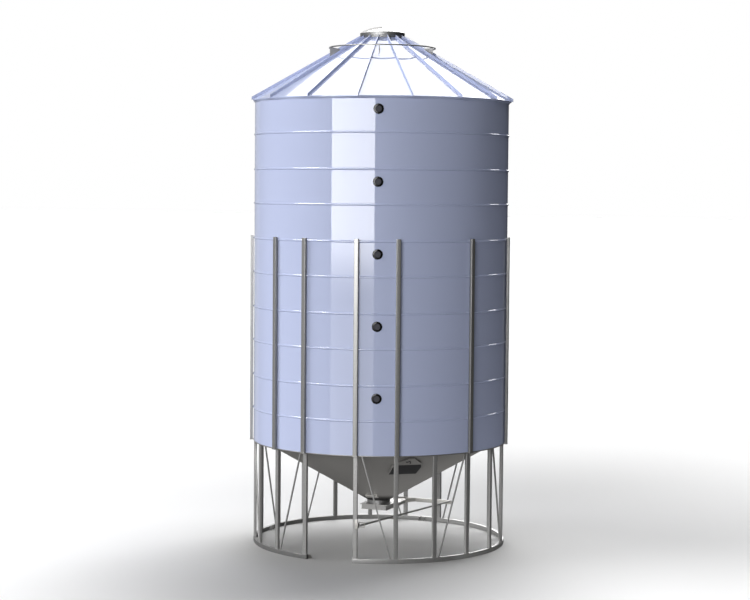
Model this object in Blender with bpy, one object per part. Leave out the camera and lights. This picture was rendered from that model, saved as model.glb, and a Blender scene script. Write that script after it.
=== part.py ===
"""Grain silo with a hopper bottom, standing on an open ring of legs.

Metres, +Z up. The origin is on the ground at the silo's axis. The open bay of the base ring is the front
and faces -Y. An azimuth of 0 degrees is that front, and azimuths grow towards +X.
"""
import math

import bmesh
import bpy
from mathutils import Matrix, Vector

# Gap between pieces that touch
GAP = 0.0003

# Wall
WALL_RADIUS = 2.233
WALL_THICKNESS = 0.008
WALL_SIDES = 48
SHEET_HEIGHT = 1.2
COURSES = 5
WALL_FOOT = 1.813
WALL_HEAD = 7.743
JOINT_BEAD_DROP = 0.034
MIDDLE_BEAD_DROP = 0.024
BEAD_HALF_HEIGHT = 0.019
BEAD_CREST = 0.007
BEAD_PROUD = 0.014
BEAD_ABOVE_JOINT = 0.022

# Sight glasses
GLASS_AZIMUTH = 20.9
GLASS_FIRST_Z = 2.77
GLASS_PLUG_RADIUS = 0.07
GLASS_PLUG_DEPTH = 0.01
GLASS_RIM_RADIUS = 0.0875
GLASS_RIM_BEVEL = [(GLASS_RIM_RADIUS, 0.012), (0.080, 0.0195), (0.068, 0.0235), (0.055, 0.0235)]
GLASS_PANE_RADIUS = 0.0525
GLASS_PANE_PROUD = 0.0135
GLASS_SIDES = 20

# Legs and base ring, both of rectangular tube
LEG_COUNT = 20
OPEN_BAY_HALF_ANGLE = 12.05
LEG_PITCH = (360.0 - 2 * OPEN_BAY_HALF_ANGLE) / (LEG_COUNT - 1)
TUBE_WIDTH = 0.075
LEG_INNER = 2.1745
LEG_OUTER = 2.2245
RING_INNER = 2.172
RING_OUTER = 2.2275
RING_HEIGHT = 0.075
RING_STEPS = 16
RING_MIDDLE = (RING_INNER + RING_OUTER) / 2
OPEN_END_MARGIN = 0.013
FOOT_PLATE = 0.008
FOOT_PLATE_LOW = 0.004
FOOT_PLATE_HIGH = 0.071
FOOT_GUSSET_REACH = 2.055
FOOT_GUSSET_CREST = 2.12
CLEAT_LENGTH = 0.062
CLEAT_OFFSET = 0.05
BEARING_THICKNESS = 0.016
BEARING_INNER = 2.160
BEARING_TOP = WALL_FOOT - GAP
BEARING_BOTTOM = BEARING_TOP - BEARING_THICKNESS
LEG_TOP = BEARING_BOTTOM - GAP
WELD_DEPTH = 0.008

# Posts outside the wall
POST_INNER = WALL_RADIUS + BEAD_PROUD + 0.0005
POST_OUTER = POST_INNER + 0.05
POST_TOP = 5.424
TAB_WIDTH = 0.084
TAB_INNER = 2.2
TAB_MARGIN = 0.004
TAB_INSET = 0.002
POST_LEGS = {1: (1, 2, 4), 2: (6, 8, 10), 3: (11, 13, 15), 4: (17, 19, 20)}

# Braces of square bar
BRACE_SIZE = 0.025
BRACE_FOOT_OFFSET = 0.05
BRACE_HEAD_OFFSET = 0.067
CLOSE_BRACE_HEADS = {2: 0.017, 5: 0.045}

# Hopper cone and outlet
CONE_SLOPE = 0.57
OUTLET_RADIUS = 0.197
COLLAR_RADIUS = 0.2065
CONE_FOOT_Z = 0.735
CONE_THICKNESS = 0.008
CONE_RIM_RADIUS = WALL_RADIUS - WALL_THICKNESS - GAP
CONE_RIM_HEIGHT = 0.075
COLLAR_FOOT_Z = 0.6673
COLLAR_FLANGE = 0.014
COLLAR_FLANGE_THICKNESS = 0.008

# Small cover plate near the cone's foot
PLATE_AZIMUTH = 4.0
PLATE_RADIUS = 0.39
PLATE_HALF_WIDTH = 0.11
PLATE_HALF_HEIGHT = 0.038
PLATE_PROUD = 0.014

# Hatch on the cone: half its outline, as (across, up the slope) from its middle
HATCH_AZIMUTH = 38.2
HATCH_RADIUS = 1.6
HATCH_HALF = ((0.242, -0.202), (0.254, 0.12), (0.217, 0.252), (0.142, 0.332), (0.04, 0.476))
HATCH_PROUD = 0.033
HATCH_LID = 0.012
HATCH_OVERHANG = 0.008

# Gate
GATE_FOOT_Z = 0.575
GATE_TOP_Z = COLLAR_FOOT_Z - GAP
GATE_PLATE = 0.008
GATE_HALF_WIDTH = 0.262
GATE_FRONT_Y = -0.245
GATE_BACK_Y = 0.275
RUNNER_WEB = 0.225
RUNNER_FLANGE = 0.25
RUNNER_SHEET = 0.006
RUNNER_END_Y = 0.71
RUNNER_TOP_Z = 0.633
LEDGE_INNER = 0.2
LEDGE_SHEET = 0.006
SLIDE_HALF_WIDTH = 0.219
SLIDE_FRONT_Y = -0.224
SLIDE_FOOT_Z = 0.619
SLIDE_TOP_Z = 0.629
ARM_FRONT_Y = 0.878
ARM_BACK_Y = 0.908
ARM_START_X = -0.235
ARM_END_X = 1.05
ARM_TOP_Z = 0.645
KNEE_FRONT_Y = 0.735
KNEE_NEAR_X = 0.247
KNEE_FAR_X = 0.36
ROD_RADIUS = 0.017
ROD_SIDES = 12
ROD_Z = 0.63
ROD_START = Vector((1.03, ARM_FRONT_Y - GAP - 0.003, ROD_Z))
ROD_END = Vector((0.521, -2.085, ROD_Z))

# Eye on the first leg that the rod's end lies in
EYE_PLATE = 0.008
EYE_MARGIN = 0.003
EYE_FLANGE_RISE = 0.069
EYE_STRAP = 0.008
EYE_STRAP_DEPTH = 0.04
EYE_STRAP_RADIUS = 2.095
EYE_REACH = 0.142
EYE_HEIGHT = 0.082
EYE_FOOT_Z = ROD_Z - EYE_HEIGHT / 2

# Roof of flat panels
PANELS = 16
FIRST_RIB = 12.5
PANEL_ANGLE = 360.0 / PANELS
ROOF_SLOPE = 0.573
EAVE_CORNER = 2.30
EAVE_Z = 7.79
ROOF_DROP = 0.0092
ROOF_INNER = 0.372
RIB_HALF_WIDTH = 0.005
RIB_RISE = 0.052
RIB_SINK = 0.004
RIB_INNER = 0.398
RIB_OUTER = 2.32
SEAM_OFFSET = 0.0065
EAVE_TIP = 2.298
EAVE_THICKNESS = 0.008

# Cap, lid and rail on the roof
CAP_FOOT_Z = EAVE_Z + (EAVE_CORNER - ROOF_INNER) * ROOF_SLOPE + GAP
CAP_TOP_Z = 8.98
CAP_RADIUS = 0.394
CAP_NECK_RADIUS = 0.386
CAP_LIP_Z = 8.928
CAP_LIP_TAPER = 0.006
CAP_BORE_RADIUS = 0.376
CAP_FOOT_BORE = 0.345
CAP_FOOT_THICKNESS = 0.01
CAP_SIDES = 32
LID_RADIUS = 0.388
LID_RISE = 0.11
LID_THICKNESS = 0.006
HINGE_Y = 0.43
HINGE_Z = CAP_TOP_Z + 0.012
LID_RIM_HEIGHT = 0.008
EAR_NEAR_X = 0.055
EAR_FAR_X = 0.067
EAR_FRONT_Y = 0.412
EAR_BACK_Y = 0.445
EAR_TOP_Z = HINGE_Z + 0.016
PAD_FRONT_Y = 0.384
PAD_FOOT_Z = 8.932
PAD_TOP_Z = 8.97
TONGUE_HALF_WIDTH = 0.0495
TONGUE_HALF_HEIGHT = 0.009
TONGUE_FRONT_Y = 0.36
PIN_RADIUS = 0.005
PIN_HALF_LENGTH = 0.07
PIN_SIDES = 12
PIN_PLAY = 0.0005
RAIL_RADIUS = 0.93
RAIL_TUBE = 0.012
RAIL_Z = 8.72
RAIL_SIDES = 50
RAIL_TUBE_SIDES = 8
GUSSET_AZIMUTH = 18.65
GUSSET_THICKNESS = 0.008
GUSSET_COUNT = 5
GUSSET_INNER = 0.77
GUSSET_OUTER = 0.948
GUSSET_LOW_CORNER = 0.03
GUSSET_CLEAR = 0.0009


def clear_scene():
    for old in list(bpy.data.objects):
        bpy.data.objects.remove(old, do_unlink=True)


def material(name, colour, roughness, metallic):
    made = bpy.data.materials.new(name)
    made.use_nodes = True
    shader = made.node_tree.nodes["Principled BSDF"]
    shader.inputs["Base Color"].default_value = (*colour, 1.0)
    shader.inputs["Roughness"].default_value = roughness
    shader.inputs["Metallic"].default_value = metallic
    return made


def outward(azimuth):
    """Unit vector that points away from the silo's axis."""
    angle = math.radians(azimuth)
    return Vector((math.sin(angle), -math.cos(angle), 0.0))


def across(azimuth):
    """Unit vector along the wall, towards greater azimuths."""
    angle = math.radians(azimuth)
    return Vector((math.cos(angle), math.sin(angle), 0.0))


def at(azimuth, radius, z):
    return outward(azimuth) * radius + Vector((0.0, 0.0, z))


def leg_azimuth(number):
    return OPEN_BAY_HALF_ANGLE + LEG_PITCH * (number - 1)


def along_ring(length, radius=RING_MIDDLE):
    """Degrees of azimuth that a length along the ring covers."""
    return math.degrees(length / radius)


def add_object(name, mesh_builder, paint, crease=None):
    """Puts a bmesh into the scene as a closed object with outward faces."""
    bmesh.ops.recalc_face_normals(mesh_builder, faces=mesh_builder.faces)
    mesh = bpy.data.meshes.new(name)
    mesh_builder.to_mesh(mesh)
    mesh_builder.free()
    mesh.materials.append(paint)
    if crease is not None:
        mesh.shade_smooth()
        mesh.set_sharp_from_angle(angle=math.radians(crease))
    made = bpy.data.objects.new(name, mesh)
    bpy.context.collection.objects.link(made)
    return made


def ring_object(name, rings, paint, crease=None):
    """Joins equal loops of points in turn and back to the first, as a ring of any section."""
    builder = bmesh.new()
    loops = [[builder.verts.new(point) for point in ring] for ring in rings]
    for first, second in zip(loops, loops[1:] + loops[:1]):
        count = len(first)
        for i in range(count):
            j = (i + 1) % count
            builder.faces.new((first[i], first[j], second[j], second[i]))
    return add_object(name, builder, paint, crease)


def turned_ring(name, profile, sides, start, paint, crease=30.0):
    """Turns a closed profile of (radius, z) points, clear of the axis, round the silo's axis."""
    step = 360.0 / sides
    rings = [[at(start + step * i, radius, z) for radius, z in profile] for i in range(sides)]
    return ring_object(name, rings, paint, crease)


def turned_solid(name, profile, sides, paint, crease=30.0):
    """Turns a profile that starts and ends on the z axis into a solid about that axis."""
    builder = bmesh.new()
    tips = [builder.verts.new((0.0, 0.0, profile[end][1])) for end in (0, -1)]
    loops = []
    for radius, z in profile[1:-1]:
        angles = [2 * math.pi * i / sides for i in range(sides)]
        points = [(radius * math.cos(a), radius * math.sin(a), z) for a in angles]
        loops.append([builder.verts.new(point) for point in points])
    for i in range(sides):
        j = (i + 1) % sides
        builder.faces.new((tips[0], loops[0][i], loops[0][j]))
        builder.faces.new((tips[1], loops[-1][j], loops[-1][i]))
        for first, second in zip(loops, loops[1:]):
            builder.faces.new((first[i], second[i], second[j], first[j]))
    return add_object(name, builder, paint, crease)


def prism(name, outline, push, paint, crease=None):
    """Extrudes a flat outline of points by a vector."""
    builder = bmesh.new()
    near = [builder.verts.new(point) for point in outline]
    far = [builder.verts.new(Vector(point) + push) for point in outline]
    builder.faces.new(near)
    builder.faces.new(far)
    for i in range(len(near)):
        j = (i + 1) % len(near)
        builder.faces.new((near[i], near[j], far[j], far[i]))
    return add_object(name, builder, paint, crease)


def box(name, low, high, paint):
    """Upright box between two corners in the object's own axes."""
    corners = [(low[0], low[1]), (high[0], low[1]), (high[0], high[1]), (low[0], high[1])]
    outline = [Vector((x, y, low[2])) for x, y in corners]
    return prism(name, outline, Vector((0.0, 0.0, high[2] - low[2])), paint)


def radial_box(name, azimuth, inner, outer, width, bottom, top, paint, offset=0.0):
    """Upright box that faces the silo's axis."""
    outline = []
    for radius, side in ((inner, -1), (outer, -1), (outer, 1), (inner, 1)):
        outline.append(at(azimuth, radius, bottom) + across(azimuth) * (offset + side * width / 2))
    return prism(name, outline, Vector((0.0, 0.0, top - bottom)), paint)


def arc_bar(name, inner, outer, bottom, top, start, end, steps, paint):
    """Bar of rectangular section bent along part of a circle."""
    section = ((inner, bottom), (outer, bottom), (outer, top), (inner, top))
    builder = bmesh.new()
    angles = [start + (end - start) * i / steps for i in range(steps + 1)]
    loops = [[builder.verts.new(at(a, radius, z)) for radius, z in section] for a in angles]
    for first, second in zip(loops, loops[1:]):
        for i in range(4):
            j = (i + 1) % 4
            builder.faces.new((first[i], first[j], second[j], second[i]))
    builder.faces.new(loops[0])
    builder.faces.new(loops[-1])
    return add_object(name, builder, paint, 30.0)


def combine(target, tools, operation="UNION"):
    """Joins tools to an object, or cuts it with them, and removes the tools."""
    for tool in tools:
        step = target.modifiers.new(tool.name, "BOOLEAN")
        step.operation = operation
        step.solver = "EXACT"
        step.object = tool
    bpy.context.view_layer.update()
    graph = bpy.context.evaluated_depsgraph_get()
    result = bpy.data.meshes.new_from_object(target.evaluated_get(graph))
    target.modifiers.clear()
    target.data = result
    for tool in tools:
        bpy.data.objects.remove(tool, do_unlink=True)
    return target


def cylinder(name, start, end, radius, sides, paint):
    """Round bar between two points."""
    direction = end - start
    builder = bmesh.new()
    sizes = {"radius1": radius, "radius2": radius, "depth": direction.length}
    bmesh.ops.create_cone(builder, cap_ends=True, segments=sides, **sizes)
    turn = direction.to_track_quat("Z", "Y").to_matrix().to_4x4()
    place = Matrix.Translation((start + end) / 2) @ turn
    bmesh.ops.transform(builder, matrix=place, verts=builder.verts)
    return add_object(name, builder, paint, 40.0)


def move_origin(item, point, parent):
    """Sets an object's origin to a point of its joint and hangs it on that joint's empty."""
    item.data.transform(Matrix.Translation(-point))
    item.parent = parent
    item.location = point - parent.location


def joint_empty(name, point):
    made = bpy.data.objects.new(name, None)
    made.location = point
    bpy.context.collection.objects.link(made)
    return made


def course_joint(number):
    """Height of the bead where a course meets the next one."""
    return WALL_FOOT + SHEET_HEIGHT * number - JOINT_BEAD_DROP


def wall_course(number, paint):
    """One course of wall sheet with its beads and the hole for its sight glass."""
    foot = WALL_FOOT if number == 1 else course_joint(number - 1) - BEAD_ABOVE_JOINT + GAP
    head = WALL_HEAD if number == COURSES else course_joint(number) - BEAD_ABOVE_JOINT
    middle = WALL_FOOT + SHEET_HEIGHT * (number - 0.5) - MIDDLE_BEAD_DROP
    beads = [middle] if number == 1 else [course_joint(number - 1), middle]
    inner = WALL_RADIUS - WALL_THICKNESS
    crest = WALL_RADIUS + BEAD_PROUD
    profile = [(inner, foot), (WALL_RADIUS, foot)]
    for z in beads:
        profile += [(WALL_RADIUS, z - BEAD_HALF_HEIGHT), (crest, z - BEAD_CREST)]
        profile += [(crest, z + BEAD_CREST), (WALL_RADIUS, z + BEAD_HALF_HEIGHT)]
    profile += [(WALL_RADIUS, head), (inner, head)]
    start = GLASS_AZIMUTH + 180.0 / WALL_SIDES
    wall = turned_ring(f"wall_ring_{number}", profile, WALL_SIDES, start, paint)
    z = GLASS_FIRST_Z + SHEET_HEIGHT * (number - 1)
    ends = [at(GLASS_AZIMUTH, WALL_RADIUS + offset, z) for offset in (-0.13, 0.12)]
    hole = cylinder("sight_hole", *ends, GLASS_PLUG_RADIUS + GAP, GLASS_SIDES, paint)
    return combine(wall, [hole], "DIFFERENCE")


def sight_glass(number, paint):
    """Round glass in a chamfered rim; its plug fills the hole in the wall."""
    profile = [
        (0.0, -GLASS_PLUG_DEPTH),
        (GLASS_PLUG_RADIUS, -GLASS_PLUG_DEPTH),
        (GLASS_PLUG_RADIUS, GAP),
        (GLASS_RIM_RADIUS, GAP),
    ]
    profile += GLASS_RIM_BEVEL
    profile += [(GLASS_PANE_RADIUS, GLASS_PANE_PROUD), (0.0, GLASS_PANE_PROUD)]
    glass = turned_solid(f"sight_glass_{number}", profile, GLASS_SIDES, paint)
    flat = WALL_RADIUS * math.cos(math.pi / WALL_SIDES)
    glass.location = at(GLASS_AZIMUTH, flat, GLASS_FIRST_Z + SHEET_HEIGHT * (number - 1))
    glass.rotation_mode = "QUATERNION"
    glass.rotation_quaternion = outward(GLASS_AZIMUTH).to_track_quat("Z", "Y")
    return glass


def quarter_limits(number):
    """First and last azimuth of a quarter of the frame, which meets its neighbours halfway between legs."""
    side_splice = leg_azimuth(5) + LEG_PITCH / 2
    splices = (0.0, side_splice, 180.0, 360.0 - side_splice, 360.0)
    return splices[number - 1], splices[number]


def foot_gusset(azimuth, paint):
    """Sloping plate that stiffens the free end of the base ring."""
    outer = RING_INNER + WELD_DEPTH
    corners = (
        (outer, FOOT_PLATE_LOW),
        (FOOT_GUSSET_REACH, FOOT_PLATE_LOW),
        (FOOT_GUSSET_CREST, FOOT_PLATE_HIGH),
        (outer, FOOT_PLATE_HIGH),
    )
    outline = [at(azimuth, radius, z) - across(azimuth) * FOOT_PLATE / 2 for radius, z in corners]
    return prism("foot_gusset", outline, across(azimuth) * FOOT_PLATE, paint)


def base_frame(number, paint):
    """Quarter of the base ring with its five legs."""
    start, end = quarter_limits(number)
    open_end = OPEN_BAY_HALF_ANGLE - along_ring(TUBE_WIDTH / 2 + OPEN_END_MARGIN)
    half_gap = along_ring(GAP / 2)
    ring_start = open_end if number == 1 else start + half_gap
    ring_end = 360.0 - open_end if number == 4 else end - half_gap
    name = f"base_frame_{number}"
    ring = arc_bar(name, RING_INNER, RING_OUTER, 0.0, RING_HEIGHT, ring_start, ring_end, RING_STEPS, paint)
    parts = []
    foot = RING_HEIGHT - WELD_DEPTH
    for leg in range(5 * number - 4, 5 * number + 1):
        azimuth = leg_azimuth(leg)
        parts.append(radial_box("leg", azimuth, LEG_INNER, LEG_OUTER, TUBE_WIDTH, foot, LEG_TOP, paint))
    cleat_shift = along_ring(CLEAT_OFFSET)
    cleats = []
    if number != 1:
        cleats.append(ring_start + cleat_shift)
    if number != 4:
        cleats.append(ring_end - cleat_shift)
    inner, outer = RING_INNER - CLEAT_LENGTH, RING_INNER + WELD_DEPTH
    for azimuth in cleats:
        low, high = FOOT_PLATE_LOW, FOOT_PLATE_HIGH
        parts.append(radial_box("cleat", azimuth, inner, outer, FOOT_PLATE, low, high, paint))
    gusset_shift = along_ring(FOOT_PLATE)
    if number == 1:
        parts.append(foot_gusset(ring_start + gusset_shift, paint))
    if number == 4:
        parts.append(foot_gusset(ring_end - gusset_shift, paint))
    return combine(ring, parts)


def upper_frame(number, paint):
    """Quarter of the bearing ring under the wall, with the posts that stand outside the wall."""
    start, end = quarter_limits(number)
    half_gap = along_ring(GAP / 2)
    plate = arc_bar(
        f"upper_frame_{number}",
        BEARING_INNER,
        WALL_RADIUS + TAB_INSET,
        BEARING_BOTTOM,
        BEARING_TOP,
        start + half_gap,
        end - half_gap,
        RING_STEPS,
        paint,
    )
    parts = []
    for leg in POST_LEGS[number]:
        azimuth = leg_azimuth(leg)
        low, high = BEARING_BOTTOM + TAB_INSET, BEARING_TOP - TAB_INSET
        tab_outer = POST_OUTER + TAB_MARGIN
        parts.append(radial_box("tab", azimuth, TAB_INNER, tab_outer, TAB_WIDTH, low, high, paint))
        foot = low + TAB_MARGIN
        parts.append(radial_box("post", azimuth, POST_INNER, POST_OUTER, TUBE_WIDTH, foot, POST_TOP, paint))
    return combine(plate, parts)


def brace(number, paint):
    """Sloping bar between two legs, with level ends on the base ring and under the bearing ring."""
    low_leg, high_leg = leg_azimuth(2 * number - 1), leg_azimuth(2 * number)
    foot_shift = along_ring(TUBE_WIDTH / 2 + BRACE_FOOT_OFFSET)
    head_shift = along_ring(TUBE_WIDTH / 2 + CLOSE_BRACE_HEADS.get(number, BRACE_HEAD_OFFSET))
    if number % 2:
        head_azimuth, foot_azimuth = low_leg + head_shift, high_leg - foot_shift
    else:
        head_azimuth, foot_azimuth = high_leg - head_shift, low_leg + foot_shift
    foot = at(foot_azimuth, RING_MIDDLE, RING_HEIGHT + GAP)
    head = at(head_azimuth, RING_MIDDLE, BEARING_BOTTOM - GAP)
    middle = (low_leg + high_leg) / 2
    out, side = outward(middle) * BRACE_SIZE / 2, across(middle) * BRACE_SIZE / 2
    outline = [foot - out - side, foot + out - side, foot + out + side, foot - out + side]
    return prism(f"brace_{number}", outline, head - foot, paint)


def cone_height(radius):
    """Height of the cone's outer face at a radius."""
    return CONE_FOOT_Z + CONE_SLOPE * (radius - COLLAR_RADIUS)


def hopper_cone(paint):
    """Cone with an upright rim inside the wall."""
    rise = CONE_THICKNESS * math.sqrt(1 + CONE_SLOPE**2)
    rim_inner = CONE_RIM_RADIUS - CONE_THICKNESS
    rim_top = cone_height(CONE_RIM_RADIUS) + CONE_RIM_HEIGHT
    profile = [
        (OUTLET_RADIUS, CONE_FOOT_Z),
        (COLLAR_RADIUS, CONE_FOOT_Z),
        (CONE_RIM_RADIUS, cone_height(CONE_RIM_RADIUS)),
        (CONE_RIM_RADIUS, rim_top),
        (rim_inner, rim_top),
        (rim_inner, cone_height(rim_inner) + rise),
        (OUTLET_RADIUS, cone_height(OUTLET_RADIUS) + rise),
    ]
    return turned_ring("hopper_cone", profile, WALL_SIDES, GLASS_AZIMUTH + 180.0 / WALL_SIDES, paint)


def outlet_collar(paint):
    top = CONE_FOOT_Z - GAP
    profile = [
        (OUTLET_RADIUS, COLLAR_FOOT_Z),
        (COLLAR_RADIUS + COLLAR_FLANGE, COLLAR_FOOT_Z),
        (COLLAR_RADIUS + COLLAR_FLANGE, COLLAR_FOOT_Z + COLLAR_FLANGE_THICKNESS),
        (COLLAR_RADIUS, COLLAR_FOOT_Z + COLLAR_FLANGE_THICKNESS),
        (COLLAR_RADIUS, top),
        (OUTLET_RADIUS, top),
    ]
    return turned_ring("outlet_collar", profile, WALL_SIDES, GLASS_AZIMUTH + 180.0 / WALL_SIDES, paint)


def cone_cutter(paint):
    """The cone's outer face as a solid, grown by the gap, for pieces that sit on the cone."""
    foot, head = COLLAR_RADIUS, CONE_RIM_RADIUS
    near_axis, top = 0.01, 2.6
    profile = [(near_axis, cone_height(foot) - GAP), (foot, cone_height(foot) - GAP)]
    profile += [(head, cone_height(head) - GAP), (head, top), (near_axis, top)]
    start = GLASS_AZIMUTH + 180.0 / WALL_SIDES
    return turned_ring("cone_cutter", profile, WALL_SIDES, start, paint)


def on_cone(name, azimuth, radius, outline, sink, proud, paint):
    """Block with a given outline that stands square on the cone and is shaped to it underneath.

    The outline's points are (across, up the slope) from the place of the block's middle.
    """
    lean = math.atan(CONE_SLOPE)
    up_slope = outward(azimuth) * math.cos(lean) + Vector((0.0, 0.0, math.sin(lean)))
    away = outward(azimuth) * math.sin(lean) - Vector((0.0, 0.0, math.cos(lean)))
    middle = at(azimuth, radius, cone_height(radius)) - away * sink
    points = [middle + across(azimuth) * x + up_slope * s for x, s in outline]
    return prism(name, points, away * (sink + proud), paint)


def arched_outline(grow=0.0):
    """Outline with a wide straight foot and an arched top, larger by a margin."""
    half = [(x + grow, s + math.copysign(grow, s)) for x, s in HATCH_HALF]
    return half + [(-x, s) for x, s in reversed(half)]


def hatch_neck(paint):
    """Low neck round the cone's hatch, shaped to the cone underneath."""
    sink = 0.06
    neck = on_cone("hatch_neck", HATCH_AZIMUTH, HATCH_RADIUS, arched_outline(), sink, HATCH_PROUD, paint)
    return combine(neck, [cone_cutter(paint)], "DIFFERENCE")


def hatch_cover(paint):
    """Flat cover that overlaps the neck all round."""
    outline = arched_outline(HATCH_OVERHANG)
    seat = HATCH_PROUD + GAP
    return on_cone("hatch_cover", HATCH_AZIMUTH, HATCH_RADIUS, outline, -seat, seat + HATCH_LID, paint)


def cone_cover_plate(paint):
    corners = ((-1, -1), (1, -1), (1, 1), (-1, 1))
    outline = [(x * PLATE_HALF_WIDTH, s * PLATE_HALF_HEIGHT) for x, s in corners]
    sink = 0.05
    plate = on_cone("cone_cover_plate", PLATE_AZIMUTH, PLATE_RADIUS, outline, sink, PLATE_PROUD, paint)
    return combine(plate, [cone_cutter(paint)], "DIFFERENCE")


def mirrored_box(name, side, near, far, paint):
    """Upright box between two corners, given for the right side and placed on either side."""
    edges = sorted((side * near[0], side * far[0]))
    return box(name, (edges[0], near[1], near[2]), (edges[1], far[1], far[2]), paint)


def gate_housing(paint):
    """Frame of the slide gate: top plate with the outlet hole, and two long runners behind it."""
    top_low = GATE_TOP_Z - GATE_PLATE
    low = (-GATE_HALF_WIDTH, GATE_FRONT_Y, top_low)
    housing = box("gate_housing", low, (GATE_HALF_WIDTH, GATE_BACK_Y, GATE_TOP_Z), paint)
    front, back = GATE_FRONT_Y + 0.007, GATE_BACK_Y - 0.005
    weld, step = 0.003, 0.001
    web_out = RUNNER_WEB + RUNNER_SHEET
    end_x = web_out - step
    back_foot, head = 0.64, top_low + weld
    parts = [
        box("front", (-end_x, front, GATE_FOOT_Z + step), (end_x, front + GATE_PLATE, head), paint),
        box("back", (-end_x, back - GATE_PLATE, back_foot), (end_x, back, head), paint),
    ]
    rail_end = RUNNER_END_Y - step
    foot, ledge = GATE_FOOT_Z, SLIDE_FOOT_Z - GAP
    beams = {
        "side": ((RUNNER_WEB, front + 2 * step, foot + 2 * step),
                 (web_out, back - 2 * step, top_low + 4 * step)),
        "web": ((RUNNER_WEB + step / 2, back - 0.02, foot + 2 * step),
                (web_out - step / 2, RUNNER_END_Y, RUNNER_TOP_Z - 2 * step)),
        "foot": ((web_out - weld, front + 4 * step, foot), (RUNNER_FLANGE, rail_end, foot + RUNNER_SHEET)),
        "head": ((web_out - weld, back, RUNNER_TOP_Z - RUNNER_SHEET),
                 (RUNNER_FLANGE, rail_end, RUNNER_TOP_Z)),
        "ledge": ((LEDGE_INNER, front + 5 * step, ledge - LEDGE_SHEET),
                  (RUNNER_WEB + weld, rail_end - step, ledge)),
    }
    for side in (-1, 1):
        parts += [mirrored_box(name, side, near, far, paint) for name, (near, far) in beams.items()]
    combine(housing, parts)
    ends = [Vector((0.0, 0.0, z)) for z in (GATE_TOP_Z - 0.03, GATE_TOP_Z + 0.03)]
    hole = cylinder("outlet_hole", *ends, OUTLET_RADIUS, WALL_SIDES, paint)
    return combine(housing, [hole], "DIFFERENCE")


def gate_slide(paint):
    """Plate that closes the outlet, with a long tail between the runners."""
    low = (-SLIDE_HALF_WIDTH, SLIDE_FRONT_Y, SLIDE_FOOT_Z)
    return box("gate_slide", low, (SLIDE_HALF_WIDTH, ARM_FRONT_Y - GAP, SLIDE_TOP_Z), paint)


def pull_arm(paint):
    """Bar behind the slide that reaches out to the side, with a solid knee at the slide's corner."""
    low = (ARM_START_X, ARM_FRONT_Y, GATE_FOOT_Z)
    bar = box("pull_arm", low, (ARM_END_X, ARM_BACK_Y, ARM_TOP_Z), paint)
    inner, back = SLIDE_HALF_WIDTH + GAP, ARM_FRONT_Y + 0.01
    knee = ((inner, KNEE_FRONT_Y), (KNEE_NEAR_X, KNEE_FRONT_Y), (KNEE_FAR_X, back), (inner, back))
    inset = 0.002
    outline = [Vector((x, y, GATE_FOOT_Z + inset)) for x, y in knee]
    height = ARM_TOP_Z - GATE_FOOT_Z - 2 * inset
    return combine(bar, [prism("knee", outline, Vector((0.0, 0.0, height)), paint)])


def rod_eye(paint):
    """Angle bracket round the first leg's corner, with a strap bent into an eye round the rod's end."""
    azimuth = leg_azimuth(1)
    side = TUBE_WIDTH / 2 + GAP
    face = LEG_OUTER + GAP
    inner = EYE_STRAP_RADIUS - EYE_STRAP_DEPTH / 2
    outer = EYE_STRAP_RADIUS + EYE_STRAP_DEPTH / 2
    weld = 0.001
    bottom, top = EYE_FOOT_Z, EYE_FOOT_Z + EYE_HEIGHT
    foot, head = bottom - EYE_MARGIN, top + EYE_MARGIN
    flange_head = top + EYE_FLANGE_RISE

    def block(name, near, far, low_radius, high_radius, low_z, high_z):
        middle = (near + far) / 2
        return radial_box(name, azimuth, low_radius, high_radius, far - near, low_z, high_z, paint, middle)

    eye = block("rod_eye", side, side + EYE_PLATE, inner - 0.01, face + EYE_PLATE, foot, head)
    near, far = side + EYE_PLATE - 0.003, EYE_REACH
    end_top = top - weld
    parts = [
        block("flange", -0.002, side + weld, face, face + EYE_PLATE - weld, foot + weld, flange_head),
        block("low_strap", near, far, inner, outer, bottom, bottom + EYE_STRAP),
        block("high_strap", near, far, inner, outer, top - EYE_STRAP, top),
        block("end_strap", far - EYE_STRAP, far + weld, inner + weld, outer - weld, bottom + weld, end_top),
    ]
    return combine(eye, parts)


def roof_height(radius):
    """Height of the roof's top face on a line where two panels meet."""
    return EAVE_Z + (EAVE_CORNER - radius) * ROOF_SLOPE


def roof_corner(index, radius):
    return at(FIRST_RIB + PANEL_ANGLE * index, radius, roof_height(radius))


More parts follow.
